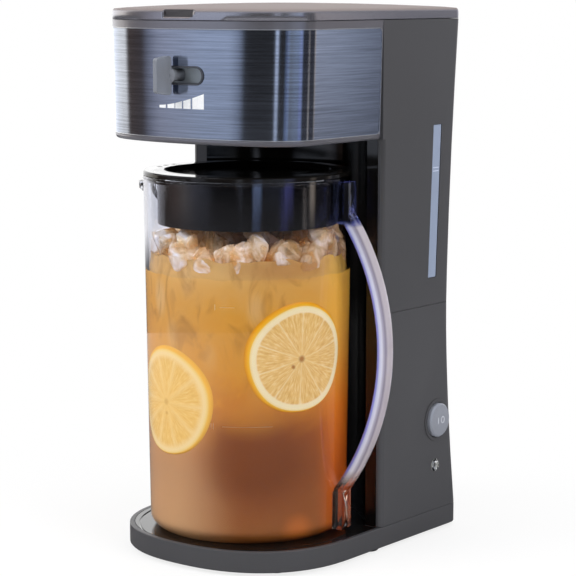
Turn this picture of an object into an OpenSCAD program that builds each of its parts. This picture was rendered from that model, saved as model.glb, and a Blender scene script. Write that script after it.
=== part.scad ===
// Iced tea maker: a column with a water tank and a heater, a brew head over a lidded jug, and a top lid hinged at the back.
// The jug stands on z = 0, its axis is the Z axis, and the front of the machine faces -Y. Lengths are in millimetres.

/* [Body] */
// Width across the column, the base and the top of the head
body_w = 169.6; // [164:0.2:176]
// Wall thickness of the moulded housings
wall = 2.4; // [2:0.1:3]
// Front faces of the column, behind the jug's axis
column_front = 41; // [38:0.5:44]
// Back of the column at the seat
back_low = 138.4; // [136:0.2:142]
// Back of the column at its waist
back_waist = 125.8; // [124:0.2:128]
// Back of the column at its top
back_top = 137.3; // [135:0.2:140]
// Height of the waist over the seat
waist_z = 145; // [135:1:155]
// Radius of the upright edges at the back
back_corner = 8; // [6:0.5:12]
// Radius of the upright edges at the front of the column
front_corner = 4; // [3:0.5:5]
// Height of the seam between the lower and the upper housing
seam_z = 150; // [140:1:152]
// Gap between pieces that are fixed to each other
seat_gap = 0.3; // [0.2:0.05:0.4]

/* [Base] */
// Height of the base, down from the seat
base_h = 14.5; // [13:0.5:18]
// Height of the rubber feet
foot_h = 2.5; // [2:0.1:3]
// Radius of the rubber feet
foot_r = 7.5; // [6:0.5:8]
// Where the bowed front of the base begins, along Y
base_bow_y = 6.3; // [0:0.1:10]
// Depth of the bowed front of the base
base_bow = 81.3; // [78:0.1:86]
// Thickness of the glossy seat plate
plate_t = 2.2; // [2:0.1:3]
// Margin of the base round the seat plate
plate_margin = 3.2; // [2.5:0.1:5]

/* [Niche] */
// Radius of the hollow behind the jug
niche_r = 82.5; // [80:0.5:84]
// Thickness of the front liner
liner_t = 2.2; // [1.8:0.1:2.6]

/* [Head] */
// Height of the underside of the head over the seat
head_z = 270; // [268:0.5:274]
// Height of the head
head_h = 80.2; // [78:0.1:84]
// Where the bowed front of the head begins, along Y
head_bow_y = -32.6; // [-34:0.1:-30]
// Depth of the bowed front of the head
head_bow = 38.8; // [38:0.1:42]
// How much narrower each side of the head is at the bottom
head_draft = 2.2; // [0:0.1:3]
// Thickness of the plate under the head
under_t = 2.5; // [2:0.1:3]
// Thickness of the metal front panel
panel_t = 0.8; // [0.5:0.1:1]
// Height of the plain band under the front panel
band_low = 3.6; // [3:0.1:6]
// Height of the plain band over the front panel
band_high = 5; // [4:0.1:7]
// Corner radius at the ends of the front panel
panel_corner = 3; // [2:0.5:5]

/* [Lid] */
// Height of the lid's rim
lid_h = 7.5; // [7:0.1:10]
// Thickness of the lid's shell
lid_t = 2.4; // [2:0.1:3]
// Radius of the rounded upper edge of the lid
lid_edge = 2.8; // [1.5:0.1:3.5]
// Rise of the lid's crowned top over its edge
lid_crown = 3.4; // [2:0.1:4]
// Width of the thumb recess
thumb_w = 25; // [20:1:30]
// Radius of the hinge barrels
barrel_r = 3; // [2.8:0.1:3.4]
// Radius of the hinge pins
hinge_pin_r = 1.5; // [1.2:0.1:1.6]
// Running clearance of the hinge pins
pin_play = 0.05; // [0.02:0.01:0.09]
// Length of each lid knuckle
knuckle_l = 18; // [14:1:24]
// Length of each hinge ear
ear_l = 5; // [4:0.5:7]
// Distance of each hinge from the middle plane
hinge_x = 44; // [38:1:52]

/* [Brewing] */
// Radius of the well that holds the brew basket
well_r = 64.6; // [64:0.2:65]
// Wall thickness of the well and the deck
well_t = 2; // [1.6:0.1:2.2]
// Thickness of the strength shutter
shutter_t = 2.2; // [1.8:0.1:2.4]
// Outer radius of the brew basket at its rim
basket_r = 59.6; // [58:0.2:60]
// Narrowing of the brew basket from rim to floor
basket_taper = 4; // [2:0.5:6]
// Wall thickness of the brew basket
basket_t = 1.8; // [1.6:0.1:2.2]
// Thickness of the brew filter
filter_t = 1; // [0.8:0.1:1.2]
// Radius of the drain nozzle over the jug
drain_r = 9; // [7:0.5:12]

/* [Strength lever] */
// Sideways place of the strength slot
slot_x = 2; // [-2:0.5:4]
// Length of the opening in the slot's bezel
slot_l = 36; // [34:0.5:40]
// Height of the opening in the slot's bezel
slot_h = 10; // [9.5:0.5:12]
// Height of the middle of the slot over the seat
slot_z = 314.8; // [312:0.2:317]
// Width of the bezel round the slot
bezel_w = 1.2; // [0.8:0.1:2]
// Radius of the lever's stem
stem_r = 4.2; // [3.6:0.1:4.4]
// Angle of the lever as it is shown
lever_rest = -4; // [-6:0.5:0]
// Height of the lever's paddle
paddle_h = 25.5; // [22:0.5:28]
// Thickness of the lever's paddle
paddle_t = 4.6; // [4:0.2:6]
// Depth of the lever's paddle
paddle_d = 13; // [11:0.5:15]

/* [Tank] */
// Height of the tank's floor over the seat
tank_z = 158; // [157:0.5:162]
// Gap between the rim of the tank and the spray pipe over it
tank_gap = 1.5; // [1:0.1:12]
// Wall thickness of the tank
tank_t = 1.8; // [1.5:0.1:2.2]
// Gap between the tank and the riser hose beside it
tank_hose_gap = 3.5; // [2:0.1:6]
// Width of the water window
window_w = 9.8; // [8:0.2:12]
// Height of the lower end of the water window
window_z = 169.3; // [168:0.5:175]
// Length of the water window
window_l = 107.5; // [95:0.5:115]

/* [Jug] */
// Outer radius of the jug at its rim
jug_r = 71.6; // [70:0.2:73]
// Narrowing of the jug from rim to floor
jug_taper = 3.2; // [2:0.1:4]
// Height of the jug
jug_h = 245; // [240:0.5:248]
// Wall thickness of the jug
jug_t = 2.5; // [2:0.1:3]
// Radius of the jug's lower edge
jug_edge = 9; // [6:0.5:12]
// Reach of the spout past the rim
spout_reach = 14; // [10:0.5:15]
// Direction of the handle from +X, towards the column
handle_angle = 12; // [8:1:14]
// Radius of the handle's bow
handle_bow = 165; // [155:1:175]
// Greatest distance of the handle's middle line from the jug's rim
handle_out = 32.2; // [30:0.2:35]
// Height of the handle's furthest point
handle_z = 128; // [124:1:132]
// Width of the handle across
handle_w = 12.5; // [11:0.5:14]
// Thickness of the handle, outwards
handle_t = 8; // [7:0.5:9]
// Gap filled by the weld between the handle and the jug
weld_gap = 0.1; // [0.05:0.05:0.2]

/* [Jug lid] */
// Thickness of the jug lid's flange
cap_t = 3; // [2.5:0.1:4]
// Room between the jug lid's skirt and the jug's wall at the rim
skirt_room = 7.1; // [6:0.1:9]
// Depth of the jug lid's skirt below the rim
skirt_h = 33; // [28:0.5:38]
// Wall thickness of the jug lid's skirt
skirt_t = 2; // [1.6:0.1:2.4]
// Clearance between the jug lid and the jug
cap_play = 0.5; // [0.4:0.1:0.8]

/* [Power switch] */
// Radius of the button's cap
button_r = 12.2; // [11:0.1:13]
// Depth of the button's place behind the jug's axis
button_y = 109.3; // [108:0.1:111]
// Height of the button over the seat
button_z = 65.6; // [60:0.2:75]
// How far the cap stands out of the housing
button_out = 3.6; // [3.2:0.1:5]
// Travel of the button
button_travel = 2.5; // [1.5:0.1:3]
// Clearance round the button
button_play = 0.4; // [0.3:0.05:0.6]
// Radius of the indicator's lens
lens_r = 4.4; // [3.5:0.1:5]
// Height of the indicator over the seat
lens_z = 32.7; // [30:0.2:36]
// Depth of the indicator's place behind the jug's axis
lens_y = 107.6; // [106:0.2:110]

/* [Heater] */
// Radius of the heater's tube
heater_r = 7; // [6:0.5:8]
// Bore of the water way
water_r = 4; // [3:0.5:4.5]
// Height of the heater's tube over the seat
heater_z = 13; // [11:0.5:16]
// Place of the heater's front leg
heater_y = 95; // [94:0.5:97]
// Distance between the heater's legs
heater_gap = 20; // [18:0.5:22]
// Half the length of the heater's straight legs
heater_half = 45; // [38:1:48]
// Outer radius of the silicone hoses
hose_r = 4.5; // [4:0.1:5]
// Wall thickness of the silicone hoses
hose_t = 1.5; // [1:0.1:1.8]
// Gap between the riser hose and the side of the column
riser_gap = 3.9; // [2:0.1:6]

/* [Hidden] */
$fn = 96;

half_w = body_w / 2;
waist_curve = 1.6;
base_curve = 2.35;
head_curve = 2.25;
bow_steps = 44;
head_top = head_z + head_h;
head_end = column_front - seat_gap;
cut = 1;
lap = 0.05;
charcoal = "#4a4a4d";
gloss_black = "#16140f";

// A smooth power curve for the back of the column, narrowest at the waist
function back_y(z) = z < waist_z
    ? back_waist + (back_low - back_waist) * pow((waist_z - max(z, 0)) / waist_z, waist_curve)
    : back_waist + (back_top - back_waist) * pow((z - waist_z) / (head_top - waist_z), waist_curve);

function turned(x, y, r, from, to, steps) =
    [for (i = [0:steps]) let (a = from + (to - from) * i / steps) [x + r * cos(a), y + r * sin(a)]];

function backwards(points) = [for (i = [len(points) - 1:-1:0]) points[i]];

// The bowed front is half of a superellipse, drawn from the left side to the right
function bowed(hw, y, depth, curve) = [for (i = [0:bow_steps])
    let (a = 180 * (1 - i / bow_steps), c = cos(a), s = sin(a))
    [hw * sign(c) * pow(abs(c), 2 / curve), y - depth * pow(max(s, 0), 2 / curve)]];

function back_corners(hw, y, r) =
    concat(turned(hw - r, y - r, r, 0, 90, 6), turned(r - hw, y - r, r, 90, 180, 6));

function base_outline(inset) = concat(
    bowed(half_w - inset, base_bow_y, base_bow - inset, base_curve),
    back_corners(half_w - inset, back_low - inset, back_corner - inset));

function head_half(z) = half_w - head_draft * (head_top - z) / head_h;

function head_bowed(z, inset) = bowed(head_half(z) - inset, head_bow_y, head_bow - inset, head_curve);

function lid_outline(inset, margin = 0) = concat(
    bowed(half_w - inset, head_bow_y, head_bow - inset, head_curve),
    back_corners(half_w - inset, back_top - inset - margin, max(back_corner - inset, 1)));

// A C-shaped ring of the column's wall, open at the front
function column_ring(z) = concat(
    turned(half_w - front_corner, column_front + front_corner, front_corner, -90, 0, 4),
    back_corners(half_w, back_y(z), back_corner),
    turned(front_corner - half_w, column_front + front_corner, front_corner, 180, 270, 4),
    turned(front_corner - half_w, column_front + front_corner, front_corner - wall, 270, 180, 4),
    backwards(back_corners(half_w - wall, back_y(z) - wall, back_corner - wall)),
    turned(half_w - front_corner, column_front + front_corner, front_corner - wall, 0, -90, 4));

function head_ring(z, inset) = concat(
    [[inset - head_half(z), head_end]], head_bowed(z, inset), [[head_half(z) - inset, head_end]],
    [[head_half(z) - wall, head_end - lap]], backwards(head_bowed(z, wall)),
    [[wall - head_half(z), head_end - lap]]);

function panel_ring(z, outer, inner) = concat(
    [[outer - head_half(z), column_front]], head_bowed(z, outer), [[head_half(z) - outer, column_front]],
    [[head_half(z) - inner, column_front - lap]], backwards(head_bowed(z, inner)),
    [[inner - head_half(z), column_front - lap]]);

function spaced(from, to, steps) = [for (i = [0:steps]) from + (to - from) * i / steps];

// A skin over closed rings of equal length, given as [height, outline] from the lowest up
module loft(rings) {
    n = len(rings[0][1]);
    top = len(rings) - 1;
    points = [for (ring = rings, p = ring[1]) [p[0], p[1], ring[0]]];
    sides = [for (k = [0:top - 1], i = [0:n - 1])
        let (a = k * n + i, b = k * n + (i + 1) % n)
        each [[a, a + n, b + n], [a, b + n, b]]];
    floor_face = [[for (i = [0:n - 1]) i]];
    roof_face = [[for (i = [n - 1:-1:0]) top * n + i]];
    polyhedron(points = points, faces = concat(floor_face, roof_face, sides), convexity = 6);
}

// Stands a shape drawn in (Y, Z) up along X
module along_x(from, to) {
    translate([from, 0, 0])
        rotate([90, 0, 90])
            linear_extrude(to - from, convexity = 6) children();
}

module rod_x(from, to, y, z, r) {
    translate([from, y, z])
        rotate([0, 90, 0])
            cylinder(h = to - from, r = r);
}

module rod_z(from, to, x, y, r) {
    translate([x, y, from])
        cylinder(h = to - from, r = r);
}

// A rectangle with round corners, centred
module rounded(w, h, r) {
    square([w - 2 * r, h], center = true);
    square([w, h - 2 * r], center = true);
    for (x = [-1, 1], y = [-1, 1])
        translate([x * (w / 2 - r), y * (h / 2 - r)])
            circle(r);
}

/* Base */

clip_places = [-20, 22];
foot_places = [[half_w - 28.8, -39.5], [half_w - 10.8, 41.5], [half_w - 14.8, back_low - 16.4]];
screw_places = [[half_w - 38.8, -52], [half_w - 18.8, back_low - 30.4]];
screw_head_r = 3.4;
screw_r = 1.6;
boss_r = 4.5;
bottom_t = 2;
roof_t = 2.4;
pocket_z = -plate_t - seat_gap;

module seat_outline(inset) {
    intersection() {
        polygon(base_outline(plate_margin + inset));
        translate([-body_w, -body_w])
            square([2 * body_w, body_w + column_front - inset]);
    }
    intersection() {
        circle(niche_r - inset);
        translate([-body_w / 2, 0])
            square([body_w, body_w]);
    }
}

module base_housing() {
    edge = 0.8;
    color(charcoal)
        difference() {
            loft([
                [-base_h, base_outline(edge)], [edge - base_h, base_outline(0)],
                [-edge / 2, base_outline(0)], [0, base_outline(edge / 2)]
            ]);
            translate([0, 0, pocket_z])
                linear_extrude(base_h) seat_outline(0);
            translate([0, 0, -base_h - cut])
                linear_extrude(base_h + cut + pocket_z - roof_t)
                    difference() {
                        polygon(base_outline(wall));
                        for (p = screw_places, side = [-1, 1])
                            translate([side * p[0], p[1]])
                                circle(boss_r);
                        for (x = [-40, 0, 40])
                            translate([x - 0.8, -body_w / 4])
                                square([1.6, body_w]);
                    }
            translate([0, 0, -base_h - cut])
                linear_extrude(bottom_t + seat_gap + cut) polygon(base_outline(wall));
            for (p = screw_places, side = [-1, 1])
                rod_z(-base_h, pocket_z - roof_t, side * p[0], p[1], screw_r + pin_play);
            for (x = clip_places)
                rod_z(-4, cut, x, heater_y + heater_gap / 2, screw_r + pin_play);
        }
}

module seat_plate() {
    groove_r = jug_r + 4;
    color(gloss_black)
        difference() {
            translate([0, 0, -plate_t])
                linear_extrude(plate_t) seat_outline(seat_gap);
            translate([0, 0, -0.6])
                rotate_extrude() translate([groove_r, 0]) square([1.4, cut]);
        }
}

module bottom_plate() {
    color("#2a2a2c")
        difference() {
            translate([0, 0, -base_h])
                linear_extrude(bottom_t) polygon(base_outline(wall + seat_gap));
            for (p = screw_places, side = [-1, 1]) {
                rod_z(-base_h - cut, -base_h + bottom_t + cut, side * p[0], p[1], screw_r + seat_gap);
                translate([side * p[0], p[1], -base_h - 0.01])
                    cylinder(h = 1.4, r = screw_head_r + seat_gap);
            }
        }
}

module rubber_feet() {
    color("#141414")
        for (p = foot_places, side = [-1, 1])
            translate([side * p[0], p[1], -base_h - foot_h])
                rotate_extrude()
                    polygon([[0, 0], [foot_r - 1, 0], [foot_r, 1], [foot_r, foot_h], [0, foot_h]]);
}

module base_screws() {
    color("#b5b5b8")
        for (p = screw_places, side = [-1, 1])
            translate([side * p[0], p[1], -base_h + 0.2])
                difference() {
                    rotate_extrude()
                        polygon([[0, 0], [screw_head_r, 0], [screw_head_r, 1], [screw_r, 1], [screw_r, 8],
                            [0.4, 9], [0, 9]]);
                    for (a = [0, 90])
                        rotate([0, 0, a])
                            translate([-2, -0.4, -cut])
                                cube([4, 0.8, cut + 0.7]);
                }
}

/* Column */

hinge_z = head_top + seat_gap / 2;
knuckle_play = 0.4;
ear_offset = knuckle_l / 2 + knuckle_play;
rib_z = tank_z - 5;
gland_x = 32.8 - half_w;
gland_z = 22;
gland_r = 6.5;
collar_t = 1.4;
collar_r = button_r + button_play + collar_t;
window_slope = (back_y(window_z + window_l) - back_y(window_z)) / window_l;
window_back = 19.5;

// The window is a strip that runs parallel to the back edge of the column
module window_strip(grow) {
    y0 = back_y(window_z) - window_back - window_w;
    y1 = y0 + window_slope * window_l;
    polygon([
        [y0 - grow, window_z - grow], [y0 + window_w + grow, window_z - grow],
        [y1 + window_w + grow, window_z + window_l + grow], [y1 - grow, window_z + window_l + grow]
    ]);
}

// The wall of the column from low to high, kept as one mesh because its back is a free curve
module column_wall(low, high, steps) {
    loft([for (z = spaced(low, high, steps)) [z, column_ring(z)]]);
}

module lower_housing() {
    high = seam_z - seat_gap / 2;
    color(charcoal)
        difference() {
            minkowski() column_wall(seat_gap, high, 8);
            rod_x(half_w - wall - cut, half_w + cut, button_y, button_z, collar_r + 0.1);
            rod_x(half_w - wall - cut, half_w + cut, lens_y, lens_z, lens_r + 0.2);
            translate([gland_x, back_y(gland_z) - wall - 2 * cut, gland_z])
                rotate([-90, 0, 0])
                    cylinder(h = wall + 4 * cut, r = gland_r);
        }
}

module hinge_ear() {
    along_x(0, ear_l) {
        polygon([
            [back_top - wall - 3, hinge_z - 9], [back_top - wall, hinge_z - 14], [back_top - 0.4, hinge_z - 9],
            [back_top + barrel_r - 0.2, hinge_z - 1], [back_top - wall - 3, hinge_z - 1.2]
        ]);
        translate([back_top, hinge_z])
            circle(barrel_r);
    }
}

module upper_housing() {
    low = seam_z + seat_gap / 2;
    color(charcoal)
        difference() {
            minkowski() difference() {
                union() {
                    column_wall(low, head_top, 9);
                    // beside the head the front edges stay square
                    for (x = [-half_w, half_w - wall])
                        translate([x, column_front, head_z]) cube([wall, 2 * front_corner, head_h]);
                    for (side = [-1, 1], end = [0, 1])
                        translate([side * hinge_x + (end < 1 ? -ear_offset - ear_l : ear_offset), 0, 0]) hinge_ear();
                    // ribs that carry the tank
                    translate([half_w - wall - 7, 66, rib_z])
                        cube([7.6, 46, tank_z - seat_gap - rib_z]);
                    translate([wall - half_w - 0.6, 64, rib_z])
                        cube([half_w - wall - 60, 20, tank_z - seat_gap - rib_z]);
                }
                translate([wall - half_w, column_front - cut, head_z])
                    cube([2 * (half_w - wall), 2 * front_corner, head_h + cut]);
                along_x(half_w - wall - cut, half_w + cut) window_strip(0.2);
                for (side = [-1, 1])
                    rod_x(side * hinge_x - ear_offset, side * hinge_x + ear_offset, back_top, hinge_z,
                        barrel_r + 0.5);
            }
            for (side = [-1, 1])
                rod_x(side * hinge_x - 20, side * hinge_x + 20, back_top, hinge_z, hinge_pin_r + pin_play);
        }
}

module front_liner() {
    face_edge = half_w - front_corner - seat_gap;
    color(gloss_black) {
        difference() {
            translate([-face_edge, column_front, seat_gap])
                cube([2 * face_edge, niche_r + liner_t, head_z - 2 * seat_gap]);
            translate([0, 0, -cut])
                cylinder(h = head_z + 2 * cut, r = niche_r);
            difference() {
                translate([-body_w, column_front + liner_t, -cut])
                    cube([2 * body_w, body_w, head_z + 2 * cut]);
                translate([0, 0, -2 * cut])
                    cylinder(h = head_z + 4 * cut, r = niche_r + liner_t);
            }
        }
    }
}

/* Head */

panel_low = head_z + band_low;
panel_high = head_top - band_high;
panel_end = column_front - 1.4;
bezel_front = head_bow_y - head_bow - 0.4;
bezel_d = 3.2;
front_y = head_bow_y - head_bow;
under_hole_r = drain_r + 3;

module panel_window(grow) {
    along_x(-body_w, body_w)
        translate([(panel_end + front_y) / 2 - 10, (panel_low + panel_high) / 2])
            rounded(panel_end - front_y + 20 + 2 * grow, panel_high - panel_low + 2 * grow, panel_corner);
}

module slot_shape(length, height) {
    translate([slot_x, slot_z])
        rounded(length, height, height / 2 - 0.01);
}

module through_front(from, to) {
    translate([0, to, 0])
        rotate([90, 0, 0])
            linear_extrude(to - from) children();
}

module head_housing() {
    edge = 2;
    color(charcoal)
        minkowski() difference() {
            loft([
                [head_z, head_ring(head_z, 1.6)], [head_z + edge / 4, head_ring(head_z, 0.7)],
                [head_z + edge, head_ring(head_z + edge, 0)], [head_top, head_ring(head_top, 0)]
            ]);
            intersection() {
                loft([for (z = [panel_low - cut, panel_high + cut]) [z, panel_ring(z, -cut, panel_t + 0.1)]]);
                panel_window(0.1);
            }
            through_front(front_y - 10, 0) slot_shape(slot_l + 2 * bezel_w + 0.2, slot_h + 2 * bezel_w + 0.2);
        }
}

module head_underside() {
    color("#1b1b1d")
        difference() {
            translate([0, 0, head_z])
                linear_extrude(under_t) {
                    intersection() {
                        polygon(head_bowed(head_z, wall + seat_gap));
                        translate([-body_w, -body_w])
                            square([2 * body_w, body_w + head_bow_y]);
                    }
                    translate([wall + seat_gap - head_half(head_z), head_bow_y - 0.01])
                        square([2 * (head_half(head_z) - wall - seat_gap), column_front - head_bow_y]);
                    difference() {
                        circle(niche_r + liner_t);
                        translate([-body_w, -body_w])
                            square([2 * body_w, body_w + column_front - 1]);
                    }
                }
            rod_z(head_z - cut, head_z + under_t + cut, 0, 0, under_hole_r + seat_gap);
            // shallow ring that frames the drain
            translate([0, 0, head_z - 0.01])
                rotate_extrude() translate([under_hole_r + 8, 0]) square([2, 0.8]);
        }
}

module front_panel() {
    color("#3c4252")
        difference() {
            intersection() {
                loft([for (z = [panel_low - cut, panel_high + cut]) [z, panel_ring(z, 0, panel_t)]]);
                panel_window(0);
            }
            through_front(front_y - 10, 0) slot_shape(slot_l + 2 * bezel_w + 0.2, slot_h + 2 * bezel_w + 0.2);
        }
}

module slot_bezel() {
    color("#5a5c62")
        through_front(bezel_front, bezel_front + bezel_d)
            difference() {
                slot_shape(slot_l + 2 * bezel_w, slot_h + 2 * bezel_w);
                slot_shape(slot_l, slot_h);
            }
}

/* Brewing */

deck_z = head_top - 9.2;
deck_t = 4;
mouth_step = 2.2;
ledge_z = 292;
ledge_t = 3.7;
well_low = head_z + under_t + seat_gap;
floor_t = 2.4;
ledge_r = well_r - shutter_t - 1.8;
basket_low = well_low + floor_t + seat_gap;
flange_z = deck_z - mouth_step + seat_gap;
flange_t = 2;
spout_z = deck_z - deck_t - 6;
riser_x = wall + hose_r + riser_gap - half_w;
spout_turn = atan2(heater_y, riser_x);
spout_r = 4;
riser_in_r = hose_r - hose_t - pin_play;
fill_w = 112;
fill_d = 34;
fill_x = 12;
fill_y = 104;

function deck_outline(inset) = concat(
    bowed(head_half(deck_z - deck_t) - inset, head_bow_y, head_bow - inset, head_curve),
    back_corners(half_w - inset, back_y(deck_z - deck_t) - inset, back_corner - wall));

module brew_deck() {
    color("#202123")
        difference() {
            union() {
                translate([0, 0, deck_z - deck_t])
                    linear_extrude(deck_t) polygon(deck_outline(wall + seat_gap));
                rotate_extrude()
                    polygon([
                        [0, well_low], [ledge_r + well_t, well_low], [ledge_r + well_t, ledge_z],
                        [well_r + well_t, ledge_z], [well_r + well_t, deck_z], [0, deck_z]
                    ]);
                // collar that guides poured water into the tank
                translate([fill_x, fill_y, deck_z - deck_t - 3.5])
                    linear_extrude(5) rounded(fill_w + 3, fill_d + 3, 9.5);
                rod_z(head_z - 3.5, well_low + 0.1, 0, 0, drain_r + well_t);
            }
            rotate_extrude()
                polygon([
                    [0, well_low + floor_t], [ledge_r, well_low + floor_t],
                    [ledge_r, ledge_z + ledge_t], [well_r, ledge_z + ledge_t], [well_r, deck_z - mouth_step],
                    [well_r + mouth_step, deck_z - mouth_step], [well_r + mouth_step, deck_z + cut],
                    [0, deck_z + cut]
                ]);
            rod_z(head_z - 10, well_low + floor_t + cut, 0, 0, drain_r);
            translate([fill_x, fill_y, deck_z - 20])
                linear_extrude(40) rounded(fill_w, fill_d, 8);
            // way for the lever's stem
            rotate([0, 0, -90 - 13])
                rotate_extrude(angle = 32)
                    translate([well_r - cut, slot_z - slot_h / 2])
                        square([well_t + 2 * cut, slot_h]);
            // way for the spray spout
            translate([0, 0, spout_z])
                rotate([0, 0, spout_turn])
                    rotate([0, 90, 0])
                        cylinder(h = 80, r = spout_r + seat_gap);
            // keeps the plate clear of the hinge ears
            translate([-body_w, back_top - wall - 4, deck_z - deck_t - cut])
                cube([2 * body_w, 20, deck_t + 2 * cut]);
        }
}

module basket_profile(out, low, high) {
    polygon([[0, low], [basket_r - basket_taper + out, low], [basket_r + out, high], [0, high]]);
}

module brew_basket() {
    rim_z = flange_z + flange_t;
    color("#2c2d30")
        difference() {
            union() {
                rotate_extrude() basket_profile(0, basket_low, rim_z);
                rod_z(flange_z, rim_z, 0, 0, well_r + mouth_step - 0.4);
                // upright ribs that stiffen the wall
                for (a = [0:30:330])
                    rotate([0, 0, a])
                        translate([basket_r - basket_taper - 1.2, -0.8, basket_low])
                            cube([1.2 + basket_taper / 2, 1.6, 12]);
            }
            rotate_extrude() basket_profile(-basket_t, basket_low + basket_t, rim_z + cut);
            // drain holes
            for (ring = [[1, 0], [6, 9], [12, 19], [18, 29]], i = [0:ring[0] - 1])
                rotate([0, 0, 360 * i / ring[0]])
                    rod_z(basket_low - cut, basket_low + basket_t + cut, ring[1], 0, 1.5);
            // ports that the strength shutter uncovers
            for (a = [-120:12:-60])
                rotate([0, 0, a])
                    translate([basket_r - 10, -2.5, slot_z - 9])
                        cube([20, 5, 18]);
            // notch for the spray spout
            rotate([0, 0, spout_turn])
                translate([basket_r - 14, -spout_r - 1, spout_z - spout_r - 1])
                    cube([40, 2 * spout_r + 2, 40]);
        }
}

module brew_filter() {
    gap = basket_t + seat_gap;
    low = basket_low + gap;
    high = flange_z - 14;
    color("#8d8f94")
        difference() {
            rotate_extrude() basket_profile(-gap - 1, low, high);
            rotate_extrude() basket_profile(-gap - 1 - filter_t, low + filter_t, high + cut);
        }
}

/* Strength lever */

shutter_r = well_r - 0.8;
shutter_low = ledge_z + ledge_t + 0.4;
shutter_high = deck_z - mouth_step - 6;
paddle_back = front_y - 3.4;

module strength_shutter() {
    color("#a9adb4")
        rotate([0, 0, lever_rest])
            difference() {
                translate([0, 0, shutter_low])
                    rotate([0, 0, -132])
                        rotate_extrude(angle = 84)
                            translate([shutter_r - shutter_t, 0])
                                square([shutter_t, shutter_high - shutter_low]);
                for (a = [-128, -116], b = [0, 1])
                    rotate([0, 0, a + 60 * b])
                        translate([shutter_r - 8, -2.5, slot_z - 9])
                            cube([16, 5, 18]);
            }
}

module strength_lever() {
    stem_in = -shutter_r - 0.1;
    corner = 2.4;
    color("#8e9198")
        rotate([0, 0, lever_rest])
            translate([0, 0, slot_z]) {
                translate([0, stem_in, 0])
                    rotate([90, 0, 0])
                        cylinder(h = -paddle_back + stem_in + 1, r = stem_r);
                translate([0, paddle_back - 2, 0])
                    rotate([-90, 0, 0])
                        cylinder(h = 2, r1 = stem_r - 1, r2 = stem_r + 1.2);
                hull()
                    for (z = [-1, 1])
                        translate([0, paddle_back - corner, z * (paddle_h / 2 - corner)]) {
                            rod_x(-paddle_t / 2, paddle_t / 2, 0, 0, corner);
                            rod_x(0.6 - paddle_t / 2, paddle_t / 2 - 0.6, 2 * corner - paddle_d, -z * 1.2, corner);
                        }
            }
}

/* Tank and water ways */

tank_right = half_w - wall - seat_gap - 0.4;
tank_h = spout_z - spout_r - 0.5 - tank_gap - tank_z;
tank_left = riser_x + hose_r + tank_hose_gap;
tank_back_gap = wall + seat_gap + 0.3;
hose_bend = 12;
clip_h = 9;
sleeve_l = 11;
spigot_r = water_r - 0.3;
outlet_x = -heater_half - hose_bend;
outlet_y = heater_y + heater_gap;

function tank_profile(inset, back, low, high) = concat(
    [for (z = spaced(high, low, 6)) [back_y(z) - tank_back_gap - back - inset, z]],
    [[column_front + 6 + inset, low], [column_front + 6 + inset, high]]);

// The tank's back corner keeps clear of the column's rounded one: [distance from its side, distance from its back]
function corner_step(a) = let (r = back_corner - wall - seat_gap) [
    max(0, tank_right - half_w + back_corner - r * sin(a)),
    max(0, back_corner - r * cos(a) + 0.2 - tank_back_gap)];

module tank_block(inset, low, high) {
    difference() {
        for (step = [corner_step(9), corner_step(37), corner_step(68)])
            along_x(tank_left + inset, tank_right - step[0] - inset)
                polygon(tank_profile(inset, step[1], low, high));
        translate([0, 0, low - cut])
            cylinder(h = high - low + 2 * cut, r = niche_r + liner_t + seat_gap + inset);
    }
}

module water_tank() {
    color("#9fb2c8", 0.5)
        difference() {
            union() {
                tank_block(0, tank_z, tank_z + tank_h);
                rod_z(tank_z - 9, tank_z + 0.1, outlet_x, outlet_y, hose_r - hose_t - pin_play);
            }
            tank_block(tank_t, tank_z + tank_t, tank_z + tank_h + cut);
            rod_z(tank_z - 10, tank_z + tank_t + cut, outlet_x, outlet_y, 1.8);
        }
}

module water_window() {
    color("#96a3bd", 0.8)
        along_x(tank_right + seat_gap, half_w - 0.4) window_strip(0);
}

module tube_x(from, to, y, z, outer, inner) {
    difference() {
        rod_x(from, to, y, z, outer);
        rod_x(from - cut, to + cut, y, z, inner);
    }
}

module tube_z(from, to, x, y, outer, inner) {
    difference() {
        rod_z(from, to, x, y, outer);
        rod_z(from - cut, to + cut, x, y, inner);
    }
}

// A quarter bend from straight down to +X
module hose_bend_out(bend) {
    rotate([90, 0, 0])
        rotate([0, 0, 180])
            rotate_extrude(angle = 90)
                translate([bend, 0])
                    difference() {
                        circle(hose_r);
                        circle(hose_r - hose_t);
                    }
}

module heater_tube() {
    bend = heater_gap / 2;
    color("#c9ccd0")
        translate([0, heater_y, heater_z]) {
            for (y = [0, heater_gap])
                difference() {
                    union() {
                        rod_x(-heater_half + sleeve_l + 1, heater_half, y, 0, heater_r);
                        rod_x(-heater_half, -heater_half + sleeve_l + 2, y, 0, spigot_r);
                    }
                    rod_x(-heater_half - cut, heater_half + cut, y, 0, water_r - 1.3);
                }
            translate([heater_half, bend, 0])
                rotate([0, 0, -90])
                    rotate_extrude(angle = 180)
                        translate([bend, 0])
                            difference() {
                                circle(heater_r);
                                circle(water_r - 1.3);
                            }
            // casing of the heating wire, brazed between the legs
            rod_x(-heater_half + 6, heater_half - 6, heater_gap / 2, 3.2, 4);
        }
}

module heater_clips() {
    color("#7c7f84")
        for (x = clip_places)
            difference() {
                translate([x - 5, heater_y - heater_r, seat_gap])
                    cube([10, heater_gap + 2 * heater_r, clip_h]);
                for (y = [0, heater_gap])
                    rod_x(x - 6, x + 6, heater_y + y, heater_z, heater_r + seat_gap);
                rod_z(-cut, heater_z + cut, x, heater_y + heater_gap / 2, screw_r + pin_play);
            }
}

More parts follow.
